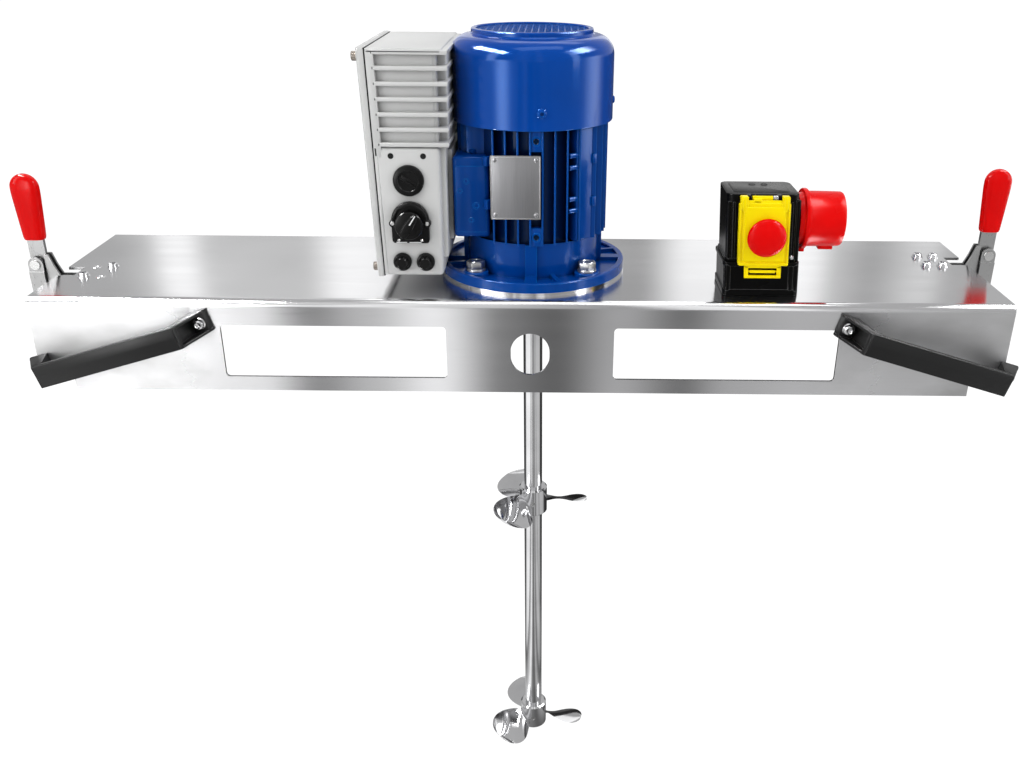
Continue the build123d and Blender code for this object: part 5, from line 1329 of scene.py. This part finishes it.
# the closing spring on the hinge pin
shape = bmesh.new()
for coil in range(5):
    bmesh.ops.create_cone(
        shape, cap_ends=True, segments=20, radius1=2.9 * mm, radius2=2.9 * mm, depth=0.5 * mm,
        matrix=shifted((245.1 + coil * 0.95) * mm, hinge_y, hinge_z) @ swung(90, "Y"),
    )
leaned(shape)
finished("hinge_spring", shape, zinc_steel, "flap")

mushroom_low, mushroom_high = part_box("stop_mushroom")
shape = bmesh.new()
mushroom_face = shifted(-1.6 * mm, 0, -1.2 * mm) @ panel_place(mushroom_low, mushroom_high)
turned(shape, in_mm(
    (0, -0.4), (6, -0.5), (11, -1.2), (15, -2.6), (17.8, -4.4), (19.2, -6.2), (19.5, -7.8), (19.0, -8.9),
    (17.5, -9.2), (7.2, -9.2), (6.8, -9.8), (6.8, -17), (0, -17),
), mushroom_face, 96)
finished("mushroom_head", shape, red_plastic, "emergency_stop", ("stop_mushroom",))
finish_with(red_plastic, "stop_button")
finish_with(green_plastic, "start_button")

# ---------------------------------------------------------------- appliance inlet
# A five-pole inlet moulded in signal red on the right side of the box: a short neck, a thin
# collar, a round shroud with a wall of 3 mm and a key rib under it. The pins' carrier is black.

inlet_low, inlet_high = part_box("inlet_shroud")
inlet_y = (inlet_low.y + inlet_high.y) / 2
inlet_axis = shifted(0, inlet_y, (inlet_low.z + inlet_high.z) / 2 + 0.8 * mm) @ swung(90, "Y")
start_x = inlet_low.x - 2.5 * mm
shape = bmesh.new()
turned(shape, (
    (0, start_x + 11 * mm), (24.6 * mm, start_x + 11 * mm), (24.8 * mm, inlet_high.x - 0.8 * mm),
    (25.6 * mm, inlet_high.x), (27.0 * mm, inlet_high.x - 0.3 * mm), (27.6 * mm, inlet_high.x - 1.6 * mm),
    (27.9 * mm, inlet_high.x - 8 * mm), (28.2 * mm, start_x + 12.5 * mm),
    (28.6 * mm, start_x + 11.8 * mm), (28.7 * mm, start_x + 10.6 * mm), (30.6 * mm, start_x + 9.6 * mm),
    (31 * mm, start_x + 8.6 * mm), (31 * mm, start_x + 6.4 * mm), (30.4 * mm, start_x + 5.4 * mm),
    (27 * mm, start_x + 5.2 * mm), (26.4 * mm, start_x + 4.4 * mm), (26.2 * mm, start_x), (0, start_x),
), inlet_axis, 96)
block(
    shape, (start_x + 26 * mm, inlet_y - 4.5 * mm, inlet_low.z + 0.6 * mm),
    (inlet_high.x - 5 * mm, inlet_y + 4.5 * mm, inlet_low.z + 5 * mm), 0.7 * mm,
)
block(
    shape, (start_x + 4.5 * mm, inlet_y - 12 * mm, inlet_low.z + 0.2 * mm),
    (start_x + 10 * mm, inlet_y + 12 * mm, inlet_low.z + 5 * mm), 0.8 * mm,
)
finished("inlet_sleeve", shape, red_plastic, "bridge", ("inlet_shroud",))
finish_with(switch_black, "inlet_core")
nickel = polished_steel("nickel", (0.70, 0.68, 0.63), (0.6, 0.58, 0.54), 300, 0.12, 0.2, 0.00001)
finish_with(nickel, "inlet_pins")

# ---------------------------------------------------------------- toggle clamps
# Two latch clamps hook the bridge to the tank's rim. Their stampings are zinc-plated steel, 2 to
# 5 mm thick, riveted together; each lever wears a dipped grip of red vinyl, 2 mm over the steel.

red_vinyl = moulded("red_vinyl", (0.70, 0.0, 0.0), (0.85, 0.01, 0.01), 0.12, 400, 0.00002, 0.12)
clamp_steel = ground_steel(
    "clamp_steel", (0.50, 0.50, 0.50), (0.34, 0.34, 0.34), (14, 14, 3), 0.26, 0.38, 0.000004,
)
black_rubber = moulded("black_rubber", (0.02, 0.02, 0.02), (0.05, 0.05, 0.05), 0.6, 500, 0.00005)
for side in ("left", "right"):
    finish_with(clamp_steel, f"{side}_clamp_ears", f"{side}_lever", f"{side}_hook")
    finish_with(zinc_steel, f"{side}_pivot_pin", f"{side}_hook_pin")
    finish_with(black_rubber, f"{side}_jaw_pad")
    grip_low, grip_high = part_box(f"{side}_grip")
    grip_x = (grip_low.x + grip_high.x) / 2
    grip_y = (grip_low.y + grip_high.y) / 2
    shape = bmesh.new()
    rings = []
    levels = []
    for step in range(30):
        crown = math.radians(max(0, step - 18) * 90 / 12)
        height = 0.79 * min(1, (step / 18) ** 1.4) + 0.21 * math.sin(crown)
        swell = 10.8 + 3.7 * min(1, height / 0.70) ** 0.9
        closing = math.cos(crown)
        foot = 1 - 0.06 * max(0.0, 1 - height / 0.03)
        levels.append((height, swell * closing * foot * mm, 6.9 * (closing ** 0.7) * foot * mm))
    for height, half_wide, half_thick in levels:
        ring = []
        for turn_step in range(48):
            angle = math.tau * turn_step / 48
            out_x = math.copysign(abs(math.cos(angle)) ** 0.72, math.cos(angle)) * half_wide
            out_y = math.copysign(abs(math.sin(angle)) ** 0.62, math.sin(angle)) * half_thick
            level = grip_low.z + height * (grip_high.z - grip_low.z)
            ring.append(shape.verts.new((grip_x + out_x, grip_y + out_y, level)))
        rings.append(ring)
    tip = shape.verts.new((grip_x, grip_y, grip_high.z))
    for lower, upper in zip(rings, rings[1:]):
        for turn_step in range(48):
            after = (turn_step + 1) % 48
            shape.faces.new((lower[turn_step], lower[after], upper[after], upper[turn_step]))
    for turn_step in range(48):
        shape.faces.new((rings[-1][turn_step], rings[-1][(turn_step + 1) % 48], tip))
    shape.faces.new(list(reversed(rings[0])))
    finished(f"{side}_sleeve", shape, red_vinyl, f"{side}_clamp_lever", (f"{side}_grip",), 50)

# ---------------------------------------------------------------- clamp screws
# Eight M6 screws hold the clamps under the plate. Six have raised button heads with a hexagon
# socket; the left clamp's other two are countersunk and finish flush with the plate.

plate_level = 78 * mm
shape = bmesh.new()
for screw_x, screw_y, raised in (
    (-479, -48, True), (-461, -15, True), (-461, -48, False), (-479, -15, False), (443, 15, True),
    (443, 48, True), (461, 15, True), (461, 48, True),
):
    screw_at = shifted(screw_x * mm, screw_y * mm, plate_level)
    if raised:
        turned(shape, in_mm(
            (2.7, 1.6), (2.9, 4.4), (4.2, 4.5), (5.1, 3.8), (5.3, 0.9), (6.4, 0.8), (6.4, 0), (3.0, -1),
            (3.0, -12), (0, -12), (0, 1.6), (2.7, 1.6),
        ), screw_at, 32)
    else:
        turned(shape, in_mm(
            (2.4, -0.8), (2.7, 0.15), (5.0, 0.25), (5.3, 0.02), (5.2, -0.6), (3.0, -1), (3.0, -12),
            (0, -12), (0, -0.8), (2.4, -0.8),
        ), screw_at, 32)
finished("clamp_button_screws", shape, turned_steel, "bridge", ("clamp_screws",))

# ---------------------------------------------------------------- inside the motor
# The laminated stator and rotor are iron stampings under a coat of dark varnish.

iron = powder_coated("iron", (0.16, 0.15, 0.14), (0.10, 0.10, 0.10), 0.5, 0.0001)
finish_with(iron, "stator", "rotor")
